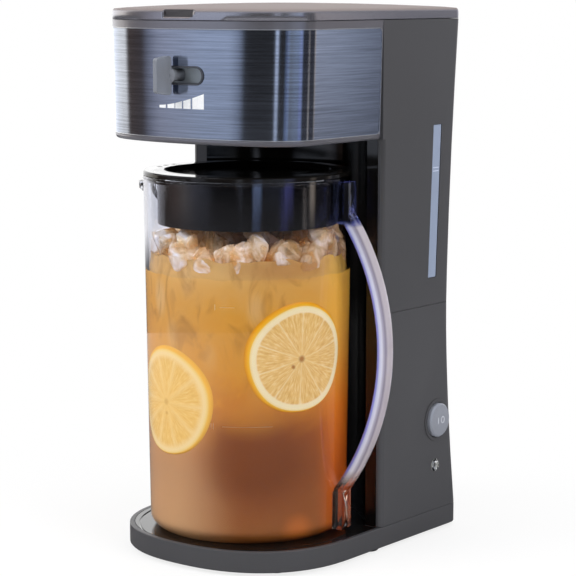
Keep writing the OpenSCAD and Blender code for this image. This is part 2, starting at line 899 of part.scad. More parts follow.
module heater_clip_screws() {
    head_low = clip_h + seat_gap + 0.1;
    color("#b5b5b8")
        for (x = clip_places)
            translate([x, heater_y + heater_gap / 2, 0])
                rotate_extrude()
                    polygon([[0, -3.6], [screw_r, -3.6], [screw_r, head_low], [2.6, head_low],
                        [2.6, head_low + 1.4], [0, head_low + 1.4]]);
}

module thermostat() {
    color("#d8d4c8")
        translate([0, heater_y, heater_z + heater_r - 0.6]) {
            translate([-9, -5, 0])
                difference() {
                    cube([18, 10, 2]);
                    rod_x(-cut, 20, 5, -heater_r + 0.6, heater_r + 0.05);
                }
            rod_z(1.9, 9, 0, 0, 7.5);
            for (y = [-3.5, 3.5])
                translate([-0.4, y - 1.6, 9])
                    cube([0.8, 3.2, 6]);
        }
}

module thermal_fuse() {
    color("#c8b090")
        translate([0, heater_y + heater_gap, heater_z + heater_r + 2.3]) {
            rod_x(-8, 8, 0, 0, 2);
            rod_x(-16, 16, 0, 0, 0.5);
        }
}

module inlet_hose() {
    bottom = heater_z + hose_bend;
    color("#d9d9d2") {
        tube_z(bottom, tank_z - 0.4, outlet_x, outlet_y, hose_r, hose_r - hose_t);
        translate([outlet_x + hose_bend, outlet_y, bottom]) hose_bend_out(hose_bend);
        tube_x(outlet_x + hose_bend, -heater_half + sleeve_l, outlet_y, heater_z, hose_r, spigot_r + pin_play);
    }
}

module check_valve() {
    color("#e6e6e0")
        translate([0, 0, heater_z + hose_bend + 20])
            difference() {
                rod_z(0, 14, outlet_x, outlet_y, hose_r - hose_t - pin_play);
                rod_z(-cut, 6, outlet_x, outlet_y, 1.8);
                rod_z(8, 15, outlet_x, outlet_y, 1.8);
            }
}

module riser_hose() {
    bend = 10;
    bottom = heater_z + bend;
    color("#d9d9d2") {
        tube_z(bottom, spout_z - 6, riser_x, heater_y, hose_r, hose_r - hose_t);
        translate([riser_x + bend, heater_y, bottom]) hose_bend_out(bend);
        tube_x(riser_x + bend, -heater_half + sleeve_l, heater_y, heater_z, hose_r, spigot_r + pin_play);
    }
}

module spray_spout() {
    reach = norm([riser_x, heater_y]);
    tip = 46;
    hub_r = spout_r + 0.5;
    color("#2c2d30")
        rotate([0, 0, spout_turn])
            difference() {
                union() {
                    rod_x(tip, reach, 0, spout_z, spout_r);
                    rod_z(spout_z - hub_r, spout_z + hub_r, reach, 0, hub_r);
                    rod_z(spout_z - 16, spout_z, reach, 0, riser_in_r);
                    rod_z(spout_z - 7, spout_z + hub_r, tip, 0, hub_r);
                }
                rod_z(spout_z - 17, spout_z, reach, 0, riser_in_r - 1.2);
                rod_x(tip, reach, 0, spout_z, spout_r - 1.5);
                rod_z(spout_z - 8, spout_z, tip, 0, spout_r - 1);
            }
}

/* Power switch */

barrel_in = half_w - 14;

module button_collar() {
    color("#232325")
        difference() {
            union() {
                rod_x(barrel_in, half_w + 0.6, button_y, button_z, collar_r);
                rod_x(half_w + 0.05, half_w + 0.6, button_y, button_z, collar_r + 1.2);
            }
            rod_x(barrel_in + 1.6, half_w + cut, button_y, button_z, button_r + button_play);
            rod_x(barrel_in - cut, half_w, button_y, button_z, 5);
        }
}

module power_button() {
    bevel = 1.2;
    rear = half_w - 5;
    plunger = barrel_in + 0.1 + button_travel;
    color("#6a6f76")
        translate([0, button_y, button_z])
            rotate([0, 90, 0])
                rotate_extrude()
                    polygon([
                        [0, plunger], [2.6, plunger], [2.6, rear], [button_r, rear],
                        [button_r, half_w + button_out - bevel], [button_r - bevel, half_w + button_out],
                        [0, half_w + button_out - 0.2]
                    ]);
}

// One open coil between the switch and the cap
module button_spring() {
    turns = 4;
    steps = turns * 14;
    sides = 6;
    wire = 0.5;
    coil_r = 7;
    from = barrel_in + 1.6 + wire + 0.1;
    to = half_w - 5 - wire - 0.3;
    points = [for (i = [0:steps], k = [0:sides - 1])
        let (a = 360 * turns * i / steps, b = 360 * k / sides, r = coil_r + wire * cos(b))
        [from + (to - from) * i / steps + wire * sin(b), button_y + r * cos(a), button_z + r * sin(a)]];
    walls = [for (i = [0:steps - 1], k = [0:sides - 1])
        let (a = i * sides + k, b = i * sides + (k + 1) % sides)
        each [[a, b, b + sides], [a, b + sides, a + sides]]];
    ends = [[for (k = [sides - 1:-1:0]) k], [for (k = [0:sides - 1]) steps * sides + k]];
    color("#c0c2c6")
        polyhedron(points = points, faces = concat(walls, ends), convexity = 8);
}

module switch_body() {
    color("#1c1c1e") {
        translate([barrel_in - 18.2, button_y - 9, button_z - 13])
            cube([18, 18, 26]);
        for (z = [-7, 7])
            translate([barrel_in - 26, button_y - 2.4, button_z + z - 0.4])
                cube([8, 4.8, 0.8]);
    }
}

module indicator_lens() {
    color("#e8ecf2", 0.6)
        translate([0, lens_y, lens_z])
            rotate([0, 90, 0])
                rotate_extrude()
                    polygon([
                        [0, half_w - 6], [lens_r, half_w - 6], [lens_r, half_w + 0.4], [lens_r - 1, half_w + 1.4],
                        [lens_r - 2.4, half_w + 1.9], [0, half_w + 2]
                    ]);
}

module lamp_holder() {
    seat = half_w - 6.2;
    color("#d0d0d4")
        difference() {
            rod_x(half_w - 22, half_w - wall - seat_gap, lens_y, lens_z, lens_r + 1.4);
            rod_x(half_w - 18, half_w, lens_y, lens_z, lens_r - 1.4);
            rod_x(seat, half_w, lens_y, lens_z, lens_r + 0.1);
        }
}

module cord_gland() {
    wall_y = back_y(gland_z);
    color("#1c1c1e")
        translate([gland_x, wall_y, gland_z])
            rotate([-90, 0, 0])
                difference() {
                    union() {
                        translate([0, 0, -wall - 4])
                            cylinder(h = wall + 5.5, r = gland_r - 0.1);
                        translate([0, 0, 1.3])
                            cylinder(h = 1.2, r = gland_r + 1.8);
                    }
                    translate([0, 0, -20])
                        cylinder(h = 40, r = 3.6);
                }
}

/* Top lid */

lid_low = head_top + seat_gap;
lid_top = head_top + lid_h + seat_gap;

module hinge_pins() {
    color("#b8babd")
        for (side = [-1, 1])
            rod_x(side * hinge_x - ear_offset - ear_l, side * hinge_x + ear_offset + ear_l,
                back_top, hinge_z, hinge_pin_r);
}

// The crowned top keeps the lid's outline, drawn in towards its middle
function crowned(z, inset, share) = let (y = (front_y + back_top) / 2)
    [z + lid_crown * (1 - share * share), [for (p = lid_outline(inset)) [p[0] * share, y + (p[1] - y) * share]]];

crown_shares = [0.94, 0.82, 0.64, 0.42, 0.18];

module top_lid() {
    color("#55545a")
        difference() {
            minkowski() difference() {
                union() {
                    difference() {
                        loft(concat([
                            [lid_low, lid_outline(0.4)], [lid_low + 0.4, lid_outline(0)],
                            [lid_top - lid_edge, lid_outline(0)],
                            [lid_top - lid_edge * 0.5, lid_outline(lid_edge * 0.14)],
                            [lid_top - lid_edge * 0.14, lid_outline(lid_edge * 0.5)]
                        ], [for (s = crown_shares) crowned(lid_top, lid_edge, s)]));
                        loft(concat([
                            [lid_low - cut, lid_outline(lid_t)], [lid_top - lid_t, lid_outline(lid_t)],
                            [lid_top - lid_t + 0.1, lid_outline(wall + 2)]
                        ], [for (s = crown_shares) crowned(lid_top - lid_t, lid_t, s)]));
                        // thumb recess in the front of the rim
                        translate([0, front_y, lid_top - 5.2])
                            rotate([90, 0, 0])
                                translate([0, 0, -lid_t * 0.6])
                                    linear_extrude(10) translate([0, 6]) rounded(thumb_w, 12, 2);
                    }
                    for (side = [-1, 1]) {
                        rod_x(side * hinge_x - knuckle_l / 2, side * hinge_x + knuckle_l / 2, back_top, hinge_z,
                            barrel_r);
                        translate([side * hinge_x - knuckle_l / 2, back_top - lid_t, hinge_z])
                            cube([knuckle_l, lid_t, lid_h / 2]);
                    }
                }
                for (side = [-1, 1], end = [-1, 1])
                    rod_x(side * hinge_x + end * (ear_offset + ear_l / 2) - ear_l / 2 - knuckle_play,
                        side * hinge_x + end * (ear_offset + ear_l / 2) + ear_l / 2 + knuckle_play,
                        back_top, hinge_z, barrel_r + 0.5);
            }
            for (side = [-1, 1])
                rod_x(side * hinge_x - knuckle_l, side * hinge_x + knuckle_l, back_top, hinge_z,
                    hinge_pin_r + pin_play);
        }
}

module lid_liner() {
    low = head_top - 3.2;
    color("#2a2a2c")
        difference() {
            translate([0, 0, low])
                linear_extrude(lid_top - lid_t - seat_gap - low) polygon(lid_outline(wall + 1.4, 4));
            translate([0, 0, low + 1.8])
                linear_extrude(20) polygon(lid_outline(wall + 3, 6));
        }
}

/* Jug */

jug_low = seat_gap;
jug_top = jug_low + jug_h;
cap_low = jug_top + seat_gap;
handle_reach = jug_r + handle_out;
skirt_r = jug_r - jug_t - skirt_room;
bead = 0.4;

function jug_wall_r(z) = jug_r - jug_taper * (jug_top - z) / jug_h;

// Half section of the jug's outside, shrunk by an inset, with a round lower edge
function jug_section(inset, low, high, edge) = concat(
    [[0, low], [jug_wall_r(low) - inset - edge, low]],
    turned(jug_wall_r(low + edge) - inset - edge, low + edge, edge, -75, 0, 5),
    [[jug_wall_r(high) - inset, high], [0, high]]);

// The beak leaves the wall below the rim and ends in a low round tip
module spout_shape(shrink, rise) {
    root = jug_wall_r(jug_top - 12) - 5;
    rotate([0, 0, handle_angle + 180])
        hull() {
            rod_z(jug_top - 13 + rise, jug_top - 8 + rise, jug_r + spout_reach - 3, 0, 3 - shrink);
            for (side = [-1, 1])
                rod_z(jug_top - 6, jug_top - 4.6 + rise / 3, root, side * 13, 4 - shrink);
            rod_z(jug_top - 24 + rise, jug_top - 22, root, 0, 4 - shrink);
        }
}

module jug() {
    color("#dfe6f0", 0.35)
        difference() {
            union() {
                rotate_extrude() polygon(jug_section(0, jug_low, jug_top, jug_edge));
                // rim bead
                rotate_extrude()
                    polygon([
                        [jug_r - 2, jug_top - 2.2], [jug_r, jug_top - 2.2], [jug_r + bead, jug_top - 1.8],
                        [jug_r + bead, jug_top - 0.4], [jug_r, jug_top], [jug_r - 2, jug_top]
                    ]);
                difference() {
                    spout_shape(0, 0);
                    rod_z(jug_low, jug_top + cut, 0, 0, jug_r - jug_t - 0.8);
                }
            }
            rotate_extrude() polygon(jug_section(jug_t, jug_low + 3, jug_top + cut, jug_edge - jug_t));
            spout_shape(1.8, 3);
            // foot recess
            rod_z(0, jug_low + 0.8, 0, 0, jug_r - jug_taper - jug_edge - 6);
        }
}

module jug_handle() {
    up = 34;
    down = 39;
    boss_h = 28;
    foot_top = 30;
    root = jug_wall_r(handle_z) - 12;
    color("#d5dcf0", 0.45)
        rotate([0, 0, handle_angle])
            difference() {
                union() {
                    translate([handle_reach - handle_bow, 0, handle_z])
                        rotate([90, 0, 0])
                            rotate([0, 0, -down])
                                rotate_extrude(angle = up + down)
                                    translate([handle_bow, 0]) rounded(handle_t, handle_w, 2.6);
                    // boss at the rim
                    translate([root, -handle_w / 2 - 0.2, jug_top - 2.6 - boss_h])
                        cube([jug_r + 7.5 - root, handle_w + 0.4, boss_h]);
                    // flared foot near the floor
                    translate([root, -handle_w / 2 - 1, 4])
                        cube([jug_r + 4 - root, handle_w + 2, foot_top - 4]);
                }
                translate([0, 0, jug_low - 20])
                    cylinder(h = jug_h + 40, r1 = jug_wall_r(jug_low - 20) + weld_gap,
                        r2 = jug_wall_r(jug_top + 20) + weld_gap);
            }
}

module jug_lid() {
    dish_r = skirt_r - 6;
    dish_d = 3.4;
    lip_r = jug_r - jug_t - cap_play;
    drip_r = 13;
    color("#141416")
        difference() {
            union() {
                rotate_extrude()
                    polygon([
                        [0, cap_low - dish_d + 0.6], [skirt_r - skirt_t, cap_low - dish_d + 0.6],
                        [skirt_r - skirt_t, jug_top - skirt_h], [skirt_r, jug_top - skirt_h], [skirt_r, cap_low],
                        [lip_r - skirt_t, cap_low], [lip_r - skirt_t, jug_top - 4], [lip_r, jug_top - 4],
                        [lip_r, cap_low], [jug_r + 0.2, cap_low], [jug_r + 0.2, cap_low + cap_t - 0.8],
                        [jug_r - 0.6, cap_low + cap_t], [0, cap_low + cap_t]
                    ]);
            }
            rotate_extrude()
                polygon([
                    [0, cap_low - 0.6], [drip_r, cap_low - 0.6], [dish_r, cap_low - 0.2],
                    [dish_r + 2, cap_low + cap_t + cut], [0, cap_low + cap_t + cut]
                ]);
            // drip holes in the middle
            for (ring = [[1, 0], [6, 7]], i = [0:ring[0] - 1])
                rotate([0, 0, 360 * i / ring[0]])
                    rod_z(cap_low - 10, cap_low + 10, ring[1], 0, 2.2);
            // pouring slots over the spout
            for (a = [-9, 0, 9])
                rotate([0, 0, handle_angle + 180 + a])
                    translate([skirt_r + 0.6, -2, cap_low - 10])
                        cube([lip_r - skirt_r - 3.4, 4, 20]);
        }
}

base_housing();
seat_plate();
bottom_plate();
rubber_feet();
base_screws();
lower_housing();
upper_housing();
front_liner();
head_housing();
head_underside();
front_panel();
slot_bezel();
brew_deck();
brew_basket();
brew_filter();
water_tank();
water_window();
heater_tube();
heater_clips();
heater_clip_screws();
thermostat();
thermal_fuse();
inlet_hose();
check_valve();
riser_hose();
spray_spout();
button_collar();
switch_body();
indicator_lens();
lamp_holder();
cord_gland();
hinge_pins();
top_lid();
lid_liner();
strength_lever();
strength_shutter();
power_button();
button_spring();
jug();
jug_handle();
jug_lid();
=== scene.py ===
"""Looks of an iced tea maker: satin charcoal housings, a dark brushed metal front, a clear jug of iced tea."""

import functools
import math

import bmesh
import bpy
import numpy as np
from bpy.props import FloatProperty, FloatVectorProperty, IntProperty, PointerProperty, StringProperty
from mathutils import Matrix, Vector


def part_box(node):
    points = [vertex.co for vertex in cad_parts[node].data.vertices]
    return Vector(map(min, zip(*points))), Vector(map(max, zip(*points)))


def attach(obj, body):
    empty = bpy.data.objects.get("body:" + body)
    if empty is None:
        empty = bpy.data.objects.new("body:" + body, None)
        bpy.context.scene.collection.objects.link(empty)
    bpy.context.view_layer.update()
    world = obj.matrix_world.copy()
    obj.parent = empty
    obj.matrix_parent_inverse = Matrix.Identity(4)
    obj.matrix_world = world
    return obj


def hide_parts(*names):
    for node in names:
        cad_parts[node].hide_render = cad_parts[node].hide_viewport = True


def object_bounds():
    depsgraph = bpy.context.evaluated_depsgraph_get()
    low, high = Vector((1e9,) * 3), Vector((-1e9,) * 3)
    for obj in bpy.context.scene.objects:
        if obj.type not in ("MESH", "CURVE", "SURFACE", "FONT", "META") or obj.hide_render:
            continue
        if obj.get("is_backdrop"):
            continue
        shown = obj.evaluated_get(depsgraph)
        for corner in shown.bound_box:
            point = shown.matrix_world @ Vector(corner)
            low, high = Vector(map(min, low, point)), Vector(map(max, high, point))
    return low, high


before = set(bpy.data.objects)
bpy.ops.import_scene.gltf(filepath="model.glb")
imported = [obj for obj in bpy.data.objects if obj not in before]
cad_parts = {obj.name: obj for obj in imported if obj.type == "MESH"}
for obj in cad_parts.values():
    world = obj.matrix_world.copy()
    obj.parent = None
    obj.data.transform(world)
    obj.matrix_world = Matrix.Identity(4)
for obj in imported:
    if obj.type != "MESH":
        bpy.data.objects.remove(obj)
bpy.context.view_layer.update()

bl_info = {
    "name": "Iced tea maker looks",
    "version": (1, 0, 0),
    "blender": (4, 5, 0),
    "location": "View3D > Sidebar > Iced tea maker",
    "description": "Builds the surfaces and finishes of an iced tea maker round its packed frame",
    "category": "Object",
}

# ---------- shared measures, in metres, as the frame has them ----------

HALF_W = 0.0848
HEAD_LOW, HEAD_TOP = 0.270, 0.3502
HEAD_DRAFT = 0.0022
BOW_Y, BOW, BOW_CURVE = -0.0326, 0.0388, 2.25
JUG_LOW, JUG_TOP, JUG_R, JUG_TAPER, JUG_WALL = 0.0003, 0.2453, 0.0716, 0.0032, 0.0025
SLOT_X, SLOT_Z, SLOT_L, SLOT_H = 0.002, 0.3148, 0.036, 0.010
# how far a sheet or a print stands out from the housing's front
PROUD = 0.00004
# the way that runs to the right in the picture
ACROSS = (0.787, 0.617, 0)


def wall_radius(z):
    """Outer radius of the jug: a straight taper from rim to floor."""
    return JUG_R - JUG_TAPER * (JUG_TOP - z) / (JUG_TOP - JUG_LOW)


def head_half(z):
    """Half width of the head, which narrows downwards by its draft."""
    return HALF_W - HEAD_DRAFT * (HEAD_TOP - z) / (HEAD_TOP - HEAD_LOW)


def bow_front(x, z):
    """Depth of the head's front at x: half a superellipse, y = y0 - depth (1 - (x / half)^c)^(1 / c)."""
    share = np.clip(np.abs(x) / head_half(z), 0, 1)
    return BOW_Y - BOW * (1 - share ** BOW_CURVE) ** (1 / BOW_CURVE)


# ---------- small tools for shapes ----------

def linked(name, data):
    """A new object in the scene for a mesh, a lamp or a camera."""
    made = bpy.data.objects.new(name, data)
    bpy.context.scene.collection.objects.link(made)
    return made


def wrapped(name, mesh, material, sharp=None, flat=None):
    """Merges doubles, turns faces outwards or joins those that are flat to an angle, shades the rest smooth up to
    another angle, and gives the mesh an object."""
    shape = bmesh.new()
    shape.from_mesh(mesh)
    bmesh.ops.remove_doubles(shape, verts=shape.verts, dist=2e-6)
    if flat:
        bmesh.ops.dissolve_limit(shape, angle_limit=math.radians(flat), verts=shape.verts, edges=shape.edges)
    else:
        bmesh.ops.dissolve_degenerate(shape, edges=shape.edges, dist=1e-6)
        bmesh.ops.recalc_face_normals(shape, faces=shape.faces)
    shape.to_mesh(mesh)
    shape.free()
    mesh.materials.clear()
    mesh.materials.append(material)
    mesh.shade_smooth()
    if sharp:
        mesh.set_sharp_from_angle(angle=math.radians(sharp))
    return linked(name, mesh)


def mesh_of(name, coords, faces):
    """A mesh from an array of points and a list of arrays of quads."""
    mesh = bpy.data.meshes.new(name)
    mesh.from_pydata(coords.reshape(-1, 3).tolist(), [], np.concatenate(faces).tolist())
    return mesh


def settle(piece, body, *nodes):
    """Lets a piece ride on a body and stand for its nodes, which it hides."""
    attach(piece, body)
    if nodes:
        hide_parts(*nodes)
    return piece


def put(name, coords, faces, look, sharp, body):
    """A piece from points and lists of quads, with its finish, on its body."""
    return settle(wrapped(name, mesh_of(name, coords, faces), finish(look), sharp), body)


def skinned(node, body, look, angle=34, bevel=0.0):
    """A merged copy of a carried node with flat areas joined, smooth up to an angle and with softened edges."""
    made = wrapped(node + "_skin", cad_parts[node].data.copy(), finish(look), angle, flat=0.4)
    if bevel:
        soft = made.modifiers.new("soft edges", "BEVEL")
        soft.width, soft.segments = bevel, 2
        soft.limit_method, soft.angle_limit = "ANGLE", math.radians(angle + 6)
        soft.use_clamp_overlap = soft.harden_normals = True
    return settle(made, body, node)


def grid_faces(rows, columns, round_u=False, round_v=False):
    """Quads of a grid of rows by columns points, closed across either way where asked."""
    i = np.arange(rows if round_u else rows - 1)
    j = np.arange(columns if round_v else columns - 1)
    a, b = (part.ravel() for part in np.meshgrid(i, j, indexing="ij"))
    c, d = (a + 1) % rows, (b + 1) % columns
    return np.stack([a * columns + b, c * columns + b, c * columns + d, a * columns + d], 1)


def circle(steps):
    """Bearings of points spread evenly round a circle."""
    return np.linspace(0, 2 * math.pi, steps, endpoint=False)


def revolved(profile, steps):
    """Turns a profile of (radius, height) rows about the Z axis: x = r cos t, y = r sin t, z = height."""
    turn = circle(steps)
    r, z = profile.T
    x, y = np.outer(np.cos(turn), r), np.outer(np.sin(turn), r)
    coords = np.stack([x, y, np.broadcast_to(z, x.shape)], 2).reshape(-1, 3)
    return coords, [grid_faces(steps, len(r), round_u=True)]


def put_bars(name, bars, look, sharp, body, closed=False):
    """Thin bars in one piece, each given as four rows of points along it: closed to a ring, or capped at its ends."""
    points, faces, start = [], [], 0
    for rows in bars:
        block = np.stack([np.stack(np.broadcast_arrays(*row), 1) for row in rows], 1).astype(float)
        steps, end = len(block), 4 * len(block) - 1
        points.append(block.reshape(-1, 3))
        faces.append(grid_faces(steps, 4, closed, True) + start)
        if not closed:
            faces.append(np.array([[0, 1, 2, 3], [end, end - 1, end - 2, end - 3]]) + start)
        start += 4 * steps
    return put(name, np.concatenate(points), faces, look, sharp, body)


def read(items, key, kind, width=1):
    """One value, or a row of values, of each of a mesh's items."""
    out = np.empty(len(items) * width, kind)
    items.foreach_get(key, out)
    return out.reshape(-1, width) if width > 1 else out


# ---------- small tools for finishes ----------

def linear(code, gain=1.0):
    """Turns an sRGB hex colour into linear RGBA, made darker or lighter by a gain."""
    parts = np.array([int(code[i:i + 2], 16) for i in (1, 3, 5)]) / 255
    parts = np.where(parts <= 0.04045, parts / 12.92, ((parts + 0.055) / 1.055) ** 2.4)
    return (*np.minimum(parts * gain, 1).tolist(), 1.0)


def fill(node, *values, **named):
    """Fills sockets, by their order among those in use or by name, with values or with nodes' first outputs in use."""
    in_use = [socket for socket in node.inputs if socket.enabled]
    by_name = [(node.inputs[key.replace("_", " ")], value) for key, value in named.items()]
    for socket, value in [*zip(in_use, values), *by_name]:
        if isinstance(value, bpy.types.Node):
            value = next(output for output in value.outputs if output.enabled)
        if isinstance(value, bpy.types.NodeSocket):
            node.id_data.links.new(value, socket)
        else:
            socket.default_value = value
    return node


def add(tree, kind, *values, **named):
    """Adds a node: names in small letters are its settings, and the rest fills its sockets."""
    made = tree.nodes.new("ShaderNode" + kind)
    for key in [key for key in named if key.islower()]:
        setattr(made, key, named.pop(key))
    return fill(made, *values, **named)


def ramp(tree, factor, *stops):
    """A colour ramp from (place, hex colour) pairs."""
    made = add(tree, "ValToRGB", factor)
    elements = made.color_ramp.elements
    elements.remove(elements[-1])
    elements[0].position, elements[0].color = stops[0][0], linear(stops[0][1])
    for place, code in stops[1:]:
        elements.new(place).color = linear(code)
    return made


def product(tree, *shares):
    """The product of several shares."""
    return functools.reduce(lambda one, other: add(tree, "Math", one, other, operation="MULTIPLY"), shares)


def laid_over(tree, below, code, *shares):
    """One colour laid over another by a share between 0 and 1, or by the product of several."""
    return add(tree, "Mix", product(tree, *shares), below, linear(code), data_type="RGBA")


def lit_through(tree, shader, code):
    """Lets lamps shine on through a clear finish to what it holds."""
    through = add(tree, "BsdfTransparent", Color=linear(code))
    both = add(tree, "MixShader", add(tree, "LightPath").outputs["Is Shadow Ray"], shader, through)
    fill(tree.nodes["Material Output"], Surface=both)


# ---------- finishes: each takes a tree, its Principled shader, Object coordinates and its own values ----------

def moulded_satin(tree, shader, where, code, rough=0.42):
    """ABS moulded in a spark-eroded tool: an even dark tone, a very fine grain, and slightly uneven sheen."""
    patch = add(tree, "TexNoise", Vector=where, Scale=14.0, Detail=2.0)
    # grain drawn at 1.2 mm so that it shows from a step away
    fine = add(tree, "TexNoise", Vector=where, Scale=1 / 0.00119, Detail=3.0, Roughness=0.6)
    fill(shader, IOR=1.54,
         Base_Color=add(tree, "Mix", patch, linear(code, 0.94), linear(code, 1.06), data_type="RGBA"),
         Normal=add(tree, "Bump", Strength=0.096, Distance=0.0002, Height=fine),
         Roughness=add(tree, "MapRange", patch, 0, 1, rough - 0.03, rough + 0.03))


def polished_black(tree, shader, where, code):
    """ABS moulded in a polished tool: black, mirror-like, with faint cloudy handling marks in the gloss."""
    cloud = add(tree, "TexNoise", Vector=where, Scale=22.0, Detail=4.0)
    fill(shader, IOR=1.54, Base_Color=ramp(tree, cloud, (0.0, code), (1.0, "#141210")),
         Roughness=add(tree, "MapRange", cloud, 0.35, 0.75, 0.07, 0.15))


def brushed_metal(tree, shader, where, code):
    """Blue-black tinted stainless, brushed along its length: level hairlines a millimetre apart and some 40 mm long,
    which keep lights crisp from side to side and stretch them upwards."""
    lines = add(tree, "Mapping", Vector=where, Scale=(14.0, 14.0, 820.0))
    hair = add(tree, "TexNoise", Vector=lines, Scale=1.0, Detail=5.0, Roughness=0.7)
    tone = add(tree, "MapRange", hair, 0.3, 0.7)
    fill(shader, Metallic=1.0, Anisotropic=0.85, Anisotropic_Rotation=0.25,
         Base_Color=add(tree, "Mix", tone, linear(code, 0.68), linear(code, 1.3), data_type="RGBA"),
         Roughness=add(tree, "MapRange", hair, 0, 1, 0.13, 0.19),
         Tangent=add(tree, "Tangent", direction_type="RADIAL", axis="Z"))


def painted_silver(tree, shader, where, code, rough=0.34, metal=0.35):
    """ABS with a satin metallic coat: fine metallic speckle under a soft sheen."""
    flake = add(tree, "TexNoise", Vector=where, Scale=2600.0, Detail=1.0)
    fill(shader, Metallic=metal, Roughness=rough, Coat_Weight=0.25, Coat_Roughness=0.2,
         Base_Color=add(tree, "Mix", flake, linear(code, 0.88), linear(code, 1.12), data_type="RGBA"))


def lid_coat(tree, shader, where, code):
    """The lid's satin metallic coat: bright round the rim, a dull warm grey painted where it faces up for the dim
    reflection its top shows, and painted shade inside the recess for the thumb, which is found by its place in the
    rim."""
    painted_silver(tree, shader, where, code, rough=0.24, metal=0.85)
    # painted reflection: a dull warm grey shader for the faces that look up
    dull = add(tree, "BsdfPrincipled", Base_Color=linear("#877d7b"), Roughness=0.6, Specular_IOR_Level=0.1)
    # painted shade: a dark shader for the inside of the thumb recess
    shade = add(tree, "BsdfPrincipled", Base_Color=linear("#3a383b"), Roughness=0.5)
    up = add(tree, "SeparateXYZ", where.node.outputs["Normal"]).outputs["Z"]
    coat = add(tree, "MixShader", add(tree, "MapRange", up, 0.3, 0.75), shader, dull)
    x, y, z = add(tree, "SeparateXYZ", where).outputs
    half_width, depth, floor = 0.01256, -0.0697, 0.3527
    here = product(tree, add(tree, "Math", x, 0.0, half_width, operation="COMPARE"),
                   add(tree, "Math", y, depth, operation="LESS_THAN"),
                   add(tree, "Math", z, floor, operation="GREATER_THAN"))
    fill(tree.nodes["Material Output"], Surface=add(tree, "MixShader", here, coat, shade))


def turned_steel(tree, shader, where, code, rough=0.25):
    """Plated steel: bright, with faint drawing lines and small roughness changes."""
    marks = add(tree, "TexNoise", Vector=where, Scale=420.0, Detail=4.0)
    fill(shader, Metallic=1.0, Base_Color=ramp(tree, marks, (0.3, code), (0.7, "#e2e4e6")),
         Roughness=add(tree, "MapRange", marks, 0, 1, rough - 0.08, rough + 0.1))


def rubber(tree, shader, where, code):
    """Moulded rubber: matt, near black, with a dusty bloom."""
    dust = add(tree, "TexNoise", Vector=where, Scale=180.0, Detail=5.0)
    fill(shader, Base_Color=ramp(tree, dust, (0.35, code), (0.8, "#2b2a29")), Roughness=0.78, IOR=1.52)


def clear_plastic(tree, shader, where, code, rough=0.02):
    """Clear SAN: faintly tinted, glossy, with slow flow lines."""
    flow = add(tree, "Mapping", Vector=where, Scale=(24.0, 24.0, 5.0))
    wave = add(tree, "TexNoise", Vector=flow, Scale=1.0, Detail=1.0)
    fill(shader, Base_Color=linear(code), Roughness=rough, IOR=1.49, Transmission_Weight=1.0,
         Normal=add(tree, "Bump", Strength=0.05, Distance=0.0006, Height=wave))
    lit_through(tree, shader, code)


def thick_clear_bow(tree, shader, where, code):
    """Clear SAN moulded thick: pale where it gathers light, lilac along the inner edge of the bow."""
    middle = add(tree, "Mapping", Vector=where, Location=(0.0612, 0, -0.128), Rotation=(0, 0, math.radians(-12)))
    level = add(tree, "VectorMath", middle, (1, 0, 1), operation="MULTIPLY")
    across = add(tree, "MapRange", add(tree, "VectorMath", level, operation="LENGTH"), 0.1608, 0.1692)
    # painted light: pale where the thick bow gathers light, with lilac along the inner edge
    tint_and_painted_light = ramp(tree, across, (0.0, "#c4c8ec"), (0.1, "#8288dc"), (0.26, "#989ee6"), (0.38, "#eceefc"),
                (0.56, "#fafbff"), (0.7, "#cfc9d2"), (0.86, "#a0979c"), (1.0, "#ddd3d0"))
    # the boss at the rim and the flared foot are clear right through
    height = add(tree, "SeparateXYZ", where).outputs["Z"]
    boss = add(tree, "MapRange", height, 0.2125, 0.2165)
    foot = add(tree, "MapRange", height, 0.046, 0.034)
    ends = add(tree, "Math", boss, foot, operation="ADD")
    fill(shader, Roughness=0.04, IOR=1.49, Transmission_Weight=add(tree, "MapRange", ends, 0, 1, 0.42, 1.0),
         Base_Color=laid_over(tree, laid_over(tree, tint_and_painted_light, "#5c6496", boss), "#e9cdbb", foot))
    lit_through(tree, shader, code)


